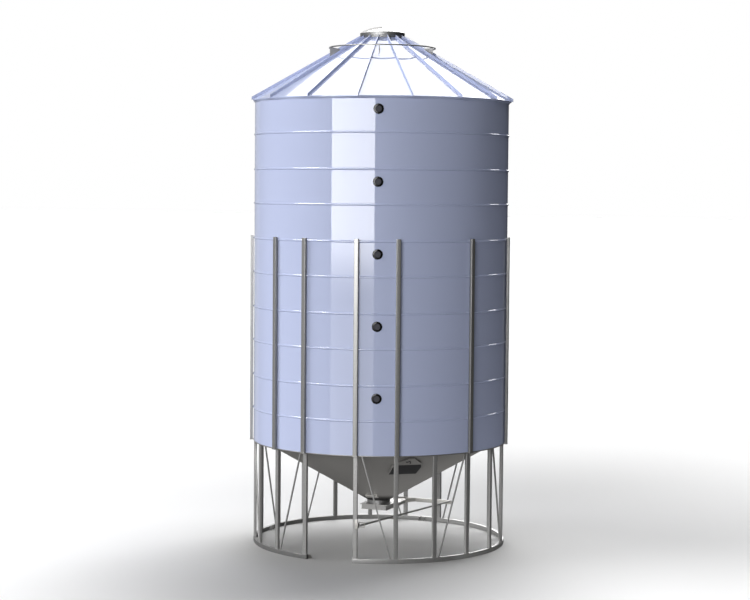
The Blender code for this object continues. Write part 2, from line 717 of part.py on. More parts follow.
def roof_quarter(number, paint):
    """Four flat panels and four ribs; its first seam runs close beside its first rib."""
    first = 4 * (number - 1)
    last = first + 4

    def beside(index, radius, distance):
        corner = roof_corner(index, radius)
        return corner + (roof_corner(index - 1, radius) - corner).normalized() * distance

    def station_line(radius):
        points = [beside(first, radius, SEAM_OFFSET)]
        points += [roof_corner(i, radius) for i in range(first, last)]
        return points + [beside(last, radius, SEAM_OFFSET + GAP)]

    drop = Vector((0.0, 0.0, -ROOF_DROP))
    builder = bmesh.new()
    top_in, top_out = station_line(ROOF_INNER), station_line(EAVE_CORNER)
    rows = [top_in, top_out, [p + drop for p in top_out], [p + drop for p in top_in]]
    loops = [[builder.verts.new(point) for point in row] for row in rows]
    for one, two in zip(loops, loops[1:] + loops[:1]):
        for i in range(len(one) - 1):
            builder.faces.new((one[i], one[i + 1], two[i + 1], two[i]))
    for end in (0, -1):
        builder.faces.new([row[end] for row in loops])
    sheet = add_object(f"roof_quarter_{number}", builder, paint)

    ribs = []
    for index in range(first, last):
        azimuth = FIRST_RIB + PANEL_ANGLE * index
        half_width = across(azimuth) * RIB_HALF_WIDTH
        corners = [(RIB_INNER, -RIB_SINK), (RIB_OUTER, -RIB_SINK)]
        corners += [(RIB_OUTER, RIB_RISE), (RIB_INNER, RIB_RISE)]
        outline = [at(azimuth, r, roof_height(r) + h) - half_width for r, h in corners]
        ribs.append(prism("rib", outline, 2 * half_width, paint))
    return combine(sheet, ribs)


def eave_ring(paint):
    """Sloping strip that closes the gap between the round wall and the straight eaves."""
    sides = 4 * PANELS
    inner, rest = WALL_RADIUS - WALL_THICKNESS - 0.001, WALL_RADIUS + 0.003
    tip_top = roof_height(EAVE_TIP) - ROOF_DROP - GAP
    tip_foot = tip_top - EAVE_THICKNESS
    foot = WALL_HEAD + GAP
    head = foot + EAVE_THICKNESS
    half_panel = math.radians(PANEL_ANGLE / 2)
    rings = []
    for i in range(sides):
        azimuth = FIRST_RIB + 360.0 * i / sides
        turn = (360.0 * i / sides) % PANEL_ANGLE - PANEL_ANGLE / 2
        flat = EAVE_TIP * math.cos(half_panel) / math.cos(math.radians(turn))
        section = [(inner, foot), (rest, foot), (flat, tip_foot), (flat, tip_top), (inner, head)]
        rings.append([at(azimuth, radius, z) for radius, z in section])
    return ring_object("eave_ring", rings, paint, 30.0)


def cap_collar(paint):
    """Round neck at the roof's top, with the two ears of the lid's hinge."""
    profile = [
        (CAP_FOOT_BORE, CAP_FOOT_Z),
        (CAP_NECK_RADIUS, CAP_FOOT_Z),
        (CAP_NECK_RADIUS, CAP_LIP_Z - CAP_LIP_TAPER),
        (CAP_RADIUS, CAP_LIP_Z),
        (CAP_RADIUS, CAP_TOP_Z),
        (CAP_BORE_RADIUS, CAP_TOP_Z),
        (CAP_BORE_RADIUS, CAP_FOOT_Z + CAP_FOOT_THICKNESS),
        (CAP_FOOT_BORE, CAP_FOOT_Z + CAP_FOOT_THICKNESS),
    ]
    collar = turned_ring("cap_collar", profile, CAP_SIDES, 0.0, paint)
    parts = []
    step = 0.0005
    ear_foot = PAD_TOP_Z - 0.008
    for side in (-1, 1):
        pad = ((EAR_NEAR_X, PAD_FRONT_Y, PAD_FOOT_Z), (EAR_FAR_X, EAR_BACK_Y + 2 * step, PAD_TOP_Z))
        ear = ((EAR_NEAR_X + step, EAR_FRONT_Y, ear_foot), (EAR_FAR_X - step, EAR_BACK_Y, EAR_TOP_Z))
        parts += [mirrored_box("ear", side, near, far, paint) for near, far in (pad, ear)]
    combine(collar, parts)
    ends = [Vector((x, HINGE_Y, HINGE_Z)) for x in (-0.1, 0.1)]
    bore = cylinder("bore", *ends, PIN_RADIUS + PIN_PLAY, PIN_SIDES, paint)
    return combine(collar, [bore], "DIFFERENCE")


def dome_points(radius, foot, height, steps=6):
    """Spherical cap of (radius, z) points, from just beside the top to the rim."""
    sphere = (radius ** 2 + height ** 2) / (2 * height)
    middle = foot + height - sphere
    reaches = [radius * i / steps for i in range(1, steps + 1)]
    return [(reach, middle + math.sqrt(sphere ** 2 - reach ** 2)) for reach in reaches]


def cap_lid(paint):
    """Domed lid with a tongue and a pin at its hinge."""
    foot = CAP_TOP_Z + GAP
    rim_top = foot + LID_RIM_HEIGHT
    height = LID_RISE - LID_RIM_HEIGHT
    inner_radius, inner_height = LID_RADIUS - LID_THICKNESS, height - LID_THICKNESS
    profile = [(0.0, rim_top + height)]
    profile += dome_points(LID_RADIUS, rim_top, height)
    profile += [(LID_RADIUS, foot), (inner_radius, foot)]
    profile += list(reversed(dome_points(inner_radius, rim_top, inner_height)))
    profile += [(0.0, rim_top + inner_height)]
    lid = turned_solid("cap_lid", profile, CAP_SIDES, paint, 40.0)
    low = (-TONGUE_HALF_WIDTH, TONGUE_FRONT_Y, HINGE_Z - TONGUE_HALF_HEIGHT)
    tongue = box("tongue", low, (TONGUE_HALF_WIDTH, HINGE_Y + 0.012, HINGE_Z + TONGUE_HALF_HEIGHT), paint)
    ends = [Vector((x, HINGE_Y, HINGE_Z)) for x in (-PIN_HALF_LENGTH, PIN_HALF_LENGTH)]
    pin = cylinder("pin", *ends, PIN_RADIUS, PIN_SIDES, paint)
    return combine(lid, [tongue, pin])


def panel_height(azimuth, radius):
    """Height of the roof's flat panel at any azimuth."""
    turn = (azimuth - FIRST_RIB) % PANEL_ANGLE - PANEL_ANGLE / 2
    reach = radius * math.cos(math.radians(turn)) / math.cos(math.radians(PANEL_ANGLE / 2))
    return roof_height(reach)


def roof_rail(paint):
    """Round rail above the roof on upright gusset plates."""
    around = [2 * math.pi * j / RAIL_TUBE_SIDES for j in range(RAIL_TUBE_SIDES)]
    section = [(RAIL_RADIUS + RAIL_TUBE * math.cos(a), RAIL_Z + RAIL_TUBE * math.sin(a)) for a in around]
    start = GUSSET_AZIMUTH + 180.0 / RAIL_SIDES
    rail = turned_ring("roof_rail", section, RAIL_SIDES, start, paint, 50.0)
    gussets = []
    for index in range(GUSSET_COUNT):
        azimuth = GUSSET_AZIMUTH + 360.0 * index / GUSSET_COUNT
        corners = [
            (GUSSET_INNER, panel_height(azimuth, GUSSET_INNER) + GUSSET_CLEAR),
            (GUSSET_OUTER, panel_height(azimuth, GUSSET_OUTER) + GUSSET_CLEAR),
            (GUSSET_OUTER, RAIL_Z + RAIL_TUBE / 3),
            (GUSSET_INNER, RAIL_Z - GUSSET_LOW_CORNER),
        ]
        half = across(azimuth) * GUSSET_THICKNESS / 2
        outline = [at(azimuth, radius, z) - half for radius, z in corners]
        gussets.append(prism("gusset", outline, 2 * half, paint))
    return combine(rail, gussets)


def build():
    clear_scene()
    sheet_paint = material("painted_sheet", (0.56, 0.61, 0.76), 0.25, 0.0)
    steel = material("galvanised_steel", (0.42, 0.41, 0.39), 0.45, 0.8)
    dark_steel = material("cone_steel", (0.22, 0.21, 0.20), 0.5, 0.6)
    bright_steel = material("bright_steel", (0.62, 0.62, 0.63), 0.3, 0.9)
    black = material("black_rim", (0.03, 0.03, 0.035), 0.35, 0.0)
    lid_paint = material("white_lid", (0.85, 0.85, 0.83), 0.35, 0.0)

    for number in range(1, COURSES + 1):
        wall_course(number, sheet_paint)
        sight_glass(number, black)
    for number in range(1, 5):
        base_frame(number, steel)
        upper_frame(number, steel)
        roof_quarter(number, sheet_paint)
    for number in range(1, LEG_COUNT // 2 + 1):
        brace(number, steel)
    hopper_cone(dark_steel)
    outlet_collar(bright_steel)
    hatch_neck(dark_steel)
    hatch_cover(dark_steel)
    cone_cover_plate(bright_steel)
    gate_housing(steel)
    rod_eye(steel)
    eave_ring(sheet_paint)
    cap_collar(bright_steel)
    roof_rail(steel)

    gate_axis = joint_empty("gate_travel", Vector((0.0, 0.0, SLIDE_FOOT_Z)))
    rod = cylinder("pull_rod", ROD_START, ROD_END, ROD_RADIUS, ROD_SIDES, steel)
    for item in (gate_slide(bright_steel), pull_arm(steel), rod):
        move_origin(item, gate_axis.location, gate_axis)
    hinge = joint_empty("lid_hinge_line", Vector((0.0, HINGE_Y, HINGE_Z)))
    move_origin(cap_lid(lid_paint), hinge.location, hinge)


build()
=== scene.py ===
"""Looks of the grain silo: fine pieces over the solid frame, their materials, the light and the camera.

Metres, +Z up. An azimuth of 0 degrees faces -Y, the open bay, and azimuths grow towards +X.
"""
from math import atan, copysign, cos, degrees, hypot, pi, radians, sin, sqrt

import bmesh
import bpy
from mathutils import Matrix, Vector


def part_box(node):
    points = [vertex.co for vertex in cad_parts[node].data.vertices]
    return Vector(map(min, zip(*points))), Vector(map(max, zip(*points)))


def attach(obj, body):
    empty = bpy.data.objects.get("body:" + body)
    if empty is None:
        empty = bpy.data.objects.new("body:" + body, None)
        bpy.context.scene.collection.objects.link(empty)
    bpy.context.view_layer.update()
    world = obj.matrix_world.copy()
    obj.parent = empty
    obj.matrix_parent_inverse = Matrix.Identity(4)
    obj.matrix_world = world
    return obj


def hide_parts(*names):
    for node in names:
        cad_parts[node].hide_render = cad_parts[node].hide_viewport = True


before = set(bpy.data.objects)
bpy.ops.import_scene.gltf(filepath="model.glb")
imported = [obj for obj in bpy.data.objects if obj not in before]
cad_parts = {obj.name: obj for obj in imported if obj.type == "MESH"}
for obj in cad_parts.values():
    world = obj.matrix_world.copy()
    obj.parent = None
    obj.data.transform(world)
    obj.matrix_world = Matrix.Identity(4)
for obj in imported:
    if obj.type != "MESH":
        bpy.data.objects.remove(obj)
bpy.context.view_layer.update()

UP = Vector((0.0, 0.0, 1.0))
GAP = 0.0003

# Meshes: widths of softened edges, distance at which points meet, angles in degrees, steps of rounded shapes
SOFT_EDGE = 0.0015
FINE_EDGE = 0.001
TOUCHING = 1e-7
CREASE = 35.0
SHARP_ANGLE = 30.0
CORNER_STEPS = 4
ARC_STEPS = 48
STAND_THICKNESS = 0.008

# Bolts, for a head of radius 1: (radius, height)
WASHER = ((0.0, 0.0), (1.5, 0.0), (1.5, 0.22), (0.0, 0.22))
WASHER_SIDES = 18
BOLT_HEAD = ((0.0, 0.2), (1.0, 0.2), (1.0, 0.78), (0.85, 0.9), (0.0, 0.9))
BOLT_SIDES = 6

# Wall
WALL_RADIUS = 2.233
WALL_THICKNESS = 0.008
WALL_SIDES = 288
COURSES = 5
SHEET_HEIGHT = 1.2
WALL_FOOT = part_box("wall_ring_1")[0][2]
WALL_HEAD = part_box("wall_ring_5")[1][2]
BEAD_PROUD = 0.014
BEAD_HALF_HEIGHT = 0.019
BEAD_FULLNESS = 0.8
BEAD_STEPS = 10
JOINT_BEAD_DROP = 0.034
MIDDLE_BEAD_DROP = 0.024

# Sight glasses; the rim and the pane are (radius, height) profiles
GLASS_AZIMUTH = 20.9
GLASS_FIRST_Z = 2.77
GLASS_SIDES = 72
GLASS_PATCH = 0.098
HOLE_RADIUS = 0.0705
HOLE_REACH = 0.1
WALL_FLAT_HALF_ANGLE = 3.75
RIM_BACK = ((0.052, -0.010), (0.070, -0.010), (0.070, 0.005), (0.0855, 0.005), (0.0865, 0.007))
RIM_FRONT = ((0.054, 0.0225), (0.0525, 0.0135))
RIM_ROUND_CENTRE = (0.055, 0.010)
RIM_ROUND_REACH = (0.0315, 0.0135)
RIM_ROUND_STEPS = 12
LOBE_COUNT = 12
LOBE_DEPTH = 0.0022
LOBE_START = 0.072
LOBE_RUN = 0.0145
PANE_PROFILE = ((0.0, -0.009), (0.0525, -0.009), (0.0525, 0.0125), (0.0515, 0.0135), (0.0, 0.0135))

# Legs and base ring; the cleat and the gusset are outlines of (radius, height)
QUARTERS = 4
LEGS_IN_QUARTER = 5
LEG_COUNT = QUARTERS * LEGS_IN_QUARTER
OPEN_BAY_HALF_ANGLE = 12.05
LEG_PITCH = (360.0 - 2 * OPEN_BAY_HALF_ANGLE) / (LEG_COUNT - 1)
TUBE_WIDTH = 0.075
TUBE_CORNER = 0.007
LEG_INNER = 2.1745
LEG_OUTER = 2.2245
LEG_SINK = 0.001
RING_INNER = 2.172
RING_OUTER = 2.2275
RING_HEIGHT = 0.075
RING_CORNER = 0.006
RING_MIDDLE = (RING_INNER + RING_OUTER) / 2
OPEN_END_REACH = 0.013
RING_PLATE_LAP = RING_INNER + 0.002
RING_PLATE_TOP = 0.071
CLEAT_SHIFT = 0.05
CLEAT = ((RING_INNER - 0.062, 0.004), (RING_PLATE_LAP, 0.004),
         (RING_PLATE_LAP, RING_PLATE_TOP), (RING_INNER - 0.062, RING_PLATE_TOP))
CLEAT_BOLT_RADIUS = RING_INNER - 0.034
CLEAT_BOLT_HEIGHTS = (0.022, 0.053)
CLEAT_BOLT_SIZE = 0.007
FOOT_GUSSET = ((RING_PLATE_LAP, 0.002), (2.055, 0.002), (2.12, RING_PLATE_TOP),
               (RING_PLATE_LAP, RING_PLATE_TOP))
FOOT_GUSSET_SHIFT = 0.008
WELD_SHAPE = ((0.0035, -0.0008), (0.001, 0.0032))
WELD_SIDE_LIMIT = 0.0015

# Bearing ring, posts and braces; the tab under a post is an outline of (radius, sideways)
BEARING_INNER = 2.160
BEARING_OUTER = WALL_RADIUS + 0.002
BEARING_TOP = WALL_FOOT - GAP
BEARING_BOTTOM = BEARING_TOP - 0.016
BEARING_CORNER = 0.003
POST_INNER = WALL_RADIUS + BEAD_PROUD + 0.0005
POST_OUTER = POST_INNER + 0.05
POST_FOOT = BEARING_BOTTOM + 0.008
POST_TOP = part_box("upper_frame_1")[1][2]
POST_LEGS = {1: (1, 2, 4), 2: (6, 8, 10), 3: (11, 13, 15), 4: (17, 19, 20)}
POST_WELD_INSET = 0.001
# Painted shade: the post on this leg, at the left edge, takes a dimmed copy of the post metal.
DIMMED_POST_LEG = 17
TAB = ((2.2, -0.042), (POST_OUTER + 0.004, -0.042), (POST_OUTER + 0.004, 0.042), (2.2, 0.042))
TAB_FOOT = BEARING_BOTTOM + 0.002
TAB_THICKNESS = 0.012
BRACE_SECTION = (0.025, 0.025, 0.004)
BRACE_FOOT_OFFSET = 0.05
BRACE_HEAD_OFFSET = 0.067
CLOSE_BRACE_HEADS = {2: 0.017, 5: 0.045}

# Cone and outlet
CONE_SLOPE = 0.57
CONE_LEAN = atan(CONE_SLOPE)
CONE_FOOT_Z = 0.735
CONE_RIM_RADIUS = WALL_RADIUS - WALL_THICKNESS - GAP
CONE_RIM_HEIGHT = 0.075
CONE_BEND = (0.004, 0.002)
CONE_SHEET_RISE = 0.0092
COLLAR_RADIUS = 0.2065
COLLAR_LIP = COLLAR_RADIUS + 0.014
COLLAR_LIP_HEIGHT = 0.008
COLLAR_FILLET = 0.003
OUTLET_RADIUS = 0.197

# Hatch on the cone: half outlines of (sideways, uphill) and the latch's path
HATCH_AZIMUTH = 38.2
HATCH_RADIUS = 1.6
HATCH_HALF = ((0.242, -0.202), (0.254, 0.12), (0.217, 0.252), (0.142, 0.332), (0.04, 0.476))
HATCH_PROUD = 0.033
HATCH_LID = 0.012
HATCH_OVERHANG = 0.008
LEAF_HALF = ((0.242, -0.196), (0.252, 0.12), (0.222, 0.22))
LEAF_SINK = 0.002
LEAF_THICKNESS = 0.005
LATCH_PATH = ((-0.077, 0.37), (-0.027, 0.41), (-0.003, 0.37), (0.003, 0.312))
LATCH_HEIGHT = 0.012
LATCH_SECTION = (0.012, 0.012, 0.0055)
LATCH_FOOT_SINK = 0.001
LATCH_FOOT_LENGTH = 0.016

# Cover plate on the cone
PLATE_AZIMUTH = 4.0
PLATE_RADIUS = 0.39
PLATE_HALF = (0.11, 0.038)
PLATE_PROUD = 0.014
PLATE_STEPS = 8

# Gate: the rod, and the screws on the gate and on the rod's bracket
ROD_RADIUS = 0.017
ROD_EDGE = 0.002
ROD_BACK = Vector((1.03, 0.8747, 0.63))
ROD_FRONT = Vector((0.521, -2.085, 0.63))
SCREW_X = 0.245
SCREW_Y = (-0.22, -0.08, 0.08, 0.245)
SCREW_SINK = 0.0002
SCREW_SIZE = 0.007
EYE_FACE = LEG_OUTER + GAP + 0.007
EYE_SCREW_HEIGHTS = (0.69, 0.72)
EYE_SCREW_SHIFT = 0.018
EYE_SCREW_SIZE = 0.006

# Roof
PANELS = 16
FIRST_RIB = 12.5
PANEL_ANGLE = 360.0 / PANELS
ROOF_SLOPE = 0.573
ROOF_DROP = 0.0092
ROOF_INNER = 0.372
RIB_HALF_WIDTH = 0.005
RIB_RISE = 0.052
RIB_SINK = 0.003
RIB_INNER = 0.398
RIB_OUTER = 2.32
SEAM_OFFSET = 0.0065

# Eave
EAVE_CORNER = 2.30
EAVE_Z = 7.79
EAVE_TIP = 2.298
EAVE_INNER = WALL_RADIUS - 0.009
EAVE_REST = WALL_RADIUS + 0.003
EAVE_LIP = 0.008
EAVE_SHEET = 0.008
EAVE_SIDES = 16 * PANELS

# Cap, by (radius, height) points; its roll and its rim also have a size
CAP_SIDES = 144
CAP_FOOT_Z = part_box("cap_collar")[0][2]
CAP_TOP_Z = 8.98
CAP_FOOT = ((0.345, CAP_FOOT_Z), (0.386, CAP_FOOT_Z), (0.386, 8.918))
CAP_ROLL = (0.3885, 8.9285, 0.0055)
CAP_WAIST = (0.3925, 8.95)
CAP_RIM = (0.388, CAP_TOP_Z - 0.006, 0.006)
CAP_BORE = ((0.376, CAP_TOP_Z), (0.376, CAP_FOOT_Z + 0.01), (0.345, CAP_FOOT_Z + 0.01))

# Hinge and lid; the ears are (y, z) outlines, and the pin is a (radius, length) profile
HINGE_Y = 0.43
HINGE_Z = CAP_TOP_Z + 0.012
EAR_FOOT = ((0.386, 8.934), (0.444, 8.934), (0.444, HINGE_Z))
EAR_FRONT = ((0.4155, HINGE_Z), (0.4155, 8.97), (0.386, 8.97))
EAR_ROUND = 0.0145
EAR_ROUND_STEPS = 8
EAR_X = 0.061
EAR_THICKNESS = 0.011
LID_RADIUS = 0.388
LID_RIM_HEIGHT = 0.008
LID_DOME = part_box("cap_lid")[1][2] - CAP_TOP_Z - GAP - LID_RIM_HEIGHT
LID_EDGE = 0.002
LID_SHEET = 0.003
LID_STEPS = 20
STRAP_SECTION = (0.099, 0.018, 0.004)
STRAP_ENDS = (0.36, HINGE_Y + 0.012)
PIN_PROFILE = ((0, 0), (0.004, 0), (0.005, 0.001), (0.005, 0.139), (0.004, 0.14), (0, 0.14))
PIN_START = -0.07

# Rail on the roof
RAIL_RADIUS = 0.93
RAIL_TUBE = 0.012
RAIL_STEPS = 20
RAIL_SIDES = 192
RAIL_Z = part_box("roof_rail")[1][2] - RAIL_TUBE
GUSSET_AZIMUTH = 18.65
GUSSET_COUNT = 5
GUSSET_INNER = 0.77
GUSSET_OUTER = RAIL_RADIUS + 0.018
GUSSET_INNER_TOP = RAIL_Z - 0.03
GUSSET_OUTER_TOP = RAIL_Z + 0.004
GUSSET_CLEAR = 0.0009

# Camera of the photograph, placed by its azimuth and its distance from the silo's axis
CAMERA_AZIMUTH = 22.25
CAMERA_DISTANCE = 33.641
CAMERA_HEIGHT = 6.248
CAMERA_YAW = -0.00283
CAMERA_PITCH = 0.0583
CAMERA_ROLL = -0.00791
CAMERA_LENS = 91.228
CAMERA_REACH = 1000.0
SENSOR_WIDTH = 36.0

# Studio light. Azimuths are to the right of the camera. Suns: azimuth, elevation, angular size, strength
SUNS = {
    "back_sun": (166.0, 50.0, 45.0, 3.0),
    "left_sun": (-90.0, 18.0, 45.0, 2.15),
    "front_sun": (-25.7, 10.0, 40.0, 1.85),
}
# Bright patches that only show as mirror images: azimuths, elevations, radiance, rise of the low edge
MIRRORED = {
    "back_high": ((160.0, 194.0), (35.5, 75.0), 6.0, 0.0),
    "back_middle": ((168.0, 180.0), (5.0, 35.5), 6.0, 0.0),
    "back_side": ((134.0, 158.0), (23.5, 31.5), 5.0, 0.0),
    "back_right": ((160.0, 168.0), (26.0, 35.5), 6.0, 0.0),
    "left_high": ((-126.0, -90.0), (46.0, 57.0), 24.0, 0.0),
    "left_top": ((-150.0, -78.0), (57.0, 64.0), 32.0, 0.0),
    "left_low": ((-178.0, -143.0), (-8.0, 22.0), 0.45, 0.0),
    "back_left": ((194.0, 200.2), (37.4, 75.0), 6.0, -1.0),
}
MIRRORED_DISTANCE = 300.0
MIRRORED_STEPS = 8
WINDOW_EDGES = (-40.6, -5.2)
WINDOW_DISTANCE = 12.0
WINDOW_FADE = (3.85, 5.45)
WINDOW_HEAD = 14.0
WINDOW_LOW_RADIANCE = 2.2
WINDOW_RADIANCE = 11.0
SKY_AZIMUTH = -68.0
SKY_BLEND = (-0.1, 0.1)
SKY_LIGHT = 0.04
GROUND_LIGHT = 0.2
MIRROR_BLEND = (-0.7, 1.0)
MIRROR_LOW = 0.0
MIRROR_HIGH = 0.35
# Floor and its painted shadows: place to the right and beyond, distances between which the painted shadow
# fades out, shade
FLOOR_SIZE = 400.0
FLOOR_Z = -0.0005
FLOOR_PAINTED_SHADOWS = (((-1.0, -2.6), (2.0, 6.0), 0.75), ((3.0, 3.4), (0.5, 11.0), 0.68))
BOUNCE_PLACE = (3.5, 0.5)
BOUNCE_Z = 0.01
BOUNCE_SIZE = 6.0
BOUNCE_RADIANCE = 0.5


# Places


def outward(azimuth):
    angle = radians(azimuth)
    return Vector((sin(angle), -cos(angle), 0.0))


def across(azimuth):
    angle = radians(azimuth)
    return Vector((cos(angle), sin(angle), 0.0))


def at(azimuth, radius, z):
    return outward(azimuth) * radius + UP * z


def leg_azimuth(number):
    return OPEN_BAY_HALF_ANGLE + LEG_PITCH * (number - 1)


def along_ring(length, radius=RING_MIDDLE):
    return degrees(length / radius)


def quarter_limits(number):
    side = leg_azimuth(LEGS_IN_QUARTER) + LEG_PITCH / 2
    splices = (0.0, side, 180.0, 360.0 - side, 360.0)
    return splices[number - 1], splices[number]


def glass_height(number):
    return GLASS_FIRST_Z + SHEET_HEIGHT * (number - 1)


def cone_height(radius):
    return CONE_FOOT_Z + CONE_SLOPE * (radius - COLLAR_RADIUS)


def roof_height(radius):
    return EAVE_Z + (EAVE_CORNER - radius) * ROOF_SLOPE


def roof_corner(index, radius):
    return at(FIRST_RIB + PANEL_ANGLE * index, radius, roof_height(radius))


def panel_height(azimuth, radius):
    turn = (azimuth - FIRST_RIB) % PANEL_ANGLE - PANEL_ANGLE / 2
    reach = radius * cos(radians(turn)) / cos(radians(PANEL_ANGLE / 2))
    return roof_height(reach)


def from_camera(azimuth):
    """Level direction from the silo, as an azimuth to the right of the camera."""
    return outward(CAMERA_AZIMUTH + azimuth)


def raised(azimuth, elevation):
    """Direction from the silo at an azimuth to the right of the camera and an elevation."""
    rise = radians(elevation)
    return from_camera(azimuth) * cos(rise) + UP * sin(rise)


def on_floor(right, beyond):
    """Place on the floor, to the right of the silo's axis and beyond it as the camera sees them."""
    return from_camera(90.0) * right + from_camera(180.0) * beyond


# Materials


class Nodes:
    """Node tree of a material or a world."""

    def __init__(self, owner):
        owner.use_nodes = True
        self.tree = owner.node_tree

    def node(self, kind, **values):
        made = self.tree.nodes.new("ShaderNode" + kind)
        for key, value in values.items():
            setattr(made, key, value)
        return made

    def link(self, start, end):
        self.tree.links.new(start, end)

    def height(self, place):
        split = self.node("SeparateXYZ")
        self.link(place, split.inputs["Vector"])
        return split.outputs["Z"]

    def smooth_range(self, source, limits, values):
        """Value that runs smoothly between two values as the source runs between its limits."""
        made = self.node("MapRange", interpolation_type="SMOOTHSTEP")
        for socket, value in zip(("From Min", "From Max", "To Min", "To Max"), (*limits, *values)):
            made.inputs[socket].default_value = value
        self.link(source, made.inputs["Value"])
        return made.outputs["Result"]


class Glow(Nodes):
    def __init__(self, name, strength):
        self.material = bpy.data.materials.new(name)
        super().__init__(self.material)
        self.tree.nodes.clear()
        emission = self.node("Emission")
        self.strength = emission.inputs["Strength"]
        self.strength.default_value = strength
        self.link(emission.outputs["Emission"], self.node("OutputMaterial").inputs["Surface"])


class Paint(Nodes):
    """A Principled material that is built up by small steps."""

    def __init__(self, name, colour, roughness, metallic=0.0):
        self.material = bpy.data.materials.new(name)
        super().__init__(self.material)
        self.shader = self.tree.nodes["Principled BSDF"]
        self.colour = colour
        self.set("Base Color", (*colour, 1.0))
        self.set("Roughness", roughness)
        self.set("Metallic", metallic)
        self.place = self.node("TexCoord").outputs["Object"]

    def set(self, socket, value):
        self.shader.inputs[socket].default_value = value

    def noise(self, size, stretch=(1.0, 1.0, 1.0), detail=4.0):
        """Noise whose patches are about the given size in metres."""
        mapping = self.node("Mapping")
        mapping.inputs["Scale"].default_value = stretch
        self.link(self.place, mapping.inputs["Vector"])
        made = self.node("TexNoise")
        made.inputs["Scale"].default_value = 1.0 / size
        made.inputs["Detail"].default_value = detail
        self.link(mapping.outputs["Vector"], made.inputs["Vector"])
        return made.outputs["Fac"]

    def grains(self, size):
        """Crystal grains of the given size, each with its own value."""
        made = self.node("TexVoronoi")
        made.inputs["Scale"].default_value = 1.0 / size
        self.link(self.place, made.inputs["Vector"])
        split = self.node("SeparateColor")
        self.link(made.outputs["Color"], split.inputs["Color"])
        return split.outputs["Red"]

    def tint(self, source, low, high):
        """Colour that runs between two shades of the paint as the source runs from 0 to 1."""
        ramp = self.node("ValToRGB")
        for element, shade in zip(ramp.color_ramp.elements, (low, high)):
            element.color = (*[channel * shade for channel in self.colour], 1.0)
        self.link(source, ramp.inputs["Fac"])
        self.link(ramp.outputs["Color"], self.shader.inputs["Base Color"])

    def dim(self, source, limits, shade):
        """Darkens the colour to a shade of it where the source is low."""
        base = self.shader.inputs["Base Color"]
        mixed = self.node("VectorMath", operation="SCALE")
        self.link(base.links[0].from_socket, mixed.inputs[0])
        self.link(self.smooth_range(source, limits, (shade, 1.0)), mixed.inputs["Scale"])
        self.link(mixed.outputs[0], base)

    def shade_low(self, limits, shade):
        """Darkens the colour below a height, and less and less up to a second height."""
        self.dim(self.height(self.place), limits, shade)

    def shade_near(self, centre, reach, shade):
        """Darkens the colour round a place, and less and less between two distances."""
        far = self.node("VectorMath", operation="DISTANCE")
        self.link(self.place, far.inputs[0])
        far.inputs[1].default_value = centre
        self.dim(far.outputs["Value"], reach, shade)

    def vary_roughness(self, source, low, high):
        made = self.node("MapRange")
        made.inputs["To Min"].default_value = low
        made.inputs["To Max"].default_value = high
        self.link(source, made.inputs["Value"])
        self.link(made.outputs["Result"], self.shader.inputs["Roughness"])

    def bump(self, source, height, strength):
        made = self.node("Bump")
        made.inputs["Distance"].default_value = height
        made.inputs["Strength"].default_value = strength
        self.link(source, made.inputs["Height"])
        self.link(made.outputs["Normal"], self.shader.inputs["Normal"])

    def coat(self, weight, roughness):
        """Clear gloss in place of the shader's own."""
        self.set("Specular IOR Level", 0.0)
        self.set("Coat Weight", weight)
        self.set("Coat Roughness", roughness)


def coated_sheet(name, colour):
    """Glossy coil-coated sheet with faint cloudiness and rolling streaks."""
    paint = Paint(name, colour, roughness=0.38)
    paint.tint(paint.noise(size=0.9, stretch=(1.0, 1.0, 0.4)), 0.98, 1.02)
    paint.vary_roughness(paint.noise(size=0.25), 0.34, 0.42)
    paint.coat(weight=1.0, roughness=0.02)
    paint.set("Coat IOR", 1.5)
    paint.bump(paint.noise(size=0.35, stretch=(1.0, 1.0, 0.25), detail=2.0), height=0.0006, strength=0.25)
    return paint.material


def galvanised(name, colour, roughness, metallic, painted_shade=None):
    """Zinc-coated steel with a faint crystal pattern, and with painted shade round a place where one is
    given.
    """
    paint = Paint(name, colour, roughness, metallic)
    grains = paint.grains(size=0.018)
    paint.tint(grains, 0.95, 1.05)
    if painted_shade:
        paint.shade_near(*painted_shade)
    paint.vary_roughness(paint.noise(size=0.06), roughness - 0.05, roughness + 0.08)
    paint.bump(grains, height=0.0002, strength=0.08)
    return paint.material


def dull_coat(name, colour, painted_shade=None):
    """Dull coated sheet with soft clouds in its colour, and with painted shade low down where heights are
    given.
    """
    paint = Paint(name, colour, roughness=0.5)
    paint.tint(paint.noise(size=0.4), 0.95, 1.05)
    if painted_shade:
        paint.shade_low(painted_shade, shade=0.1)
    paint.vary_roughness(paint.noise(size=0.12), 0.44, 0.56)
    paint.bump(paint.noise(size=0.02, detail=2.0), height=0.0002, strength=0.2)
    return paint.material


def spun_metal(name, colour, roughness):
    """Bright metal with fine rings left by spinning."""
    paint = Paint(name, colour, roughness, metallic=1.0)
    lines = paint.noise(size=0.004, stretch=(0.04, 0.04, 1.0), detail=2.0)
    paint.tint(lines, 0.93, 1.05)
    paint.vary_roughness(lines, roughness * 0.7, roughness * 1.4)
    return paint.material


def glossy_black(name):
    paint = Paint(name, (0.0016, 0.0016, 0.0018), roughness=0.22)
    paint.tint(paint.noise(size=0.02), 0.7, 1.6)
    paint.vary_roughness(paint.noise(size=0.01), 0.16, 0.3)
    paint.coat(weight=0.55, roughness=0.04)
    return paint.material


def dark_pane(name):
    """Thick pane painted dark, as painted shade of the unlit inside behind it."""
    paint = Paint(name, (0.088, 0.088, 0.102), roughness=0.25)
    paint.tint(paint.noise(size=0.012), 0.8, 1.2)
    paint.coat(weight=0.5, roughness=0.03)
    return paint.material


def floor_paint():
    paint = Paint("floor_paint", (0.97, 0.97, 0.97), roughness=0.9)
    paint.tint(paint.noise(size=3.0), 0.99, 1.01)
    paint.set("Specular IOR Level", 0.0)
    # Painted shadows on the floor, round the silo's foot and beyond it to the right.
    for place, reach, shade in FLOOR_PAINTED_SHADOWS:
        paint.shade_near(on_floor(*place), reach, shade)
    return paint.material
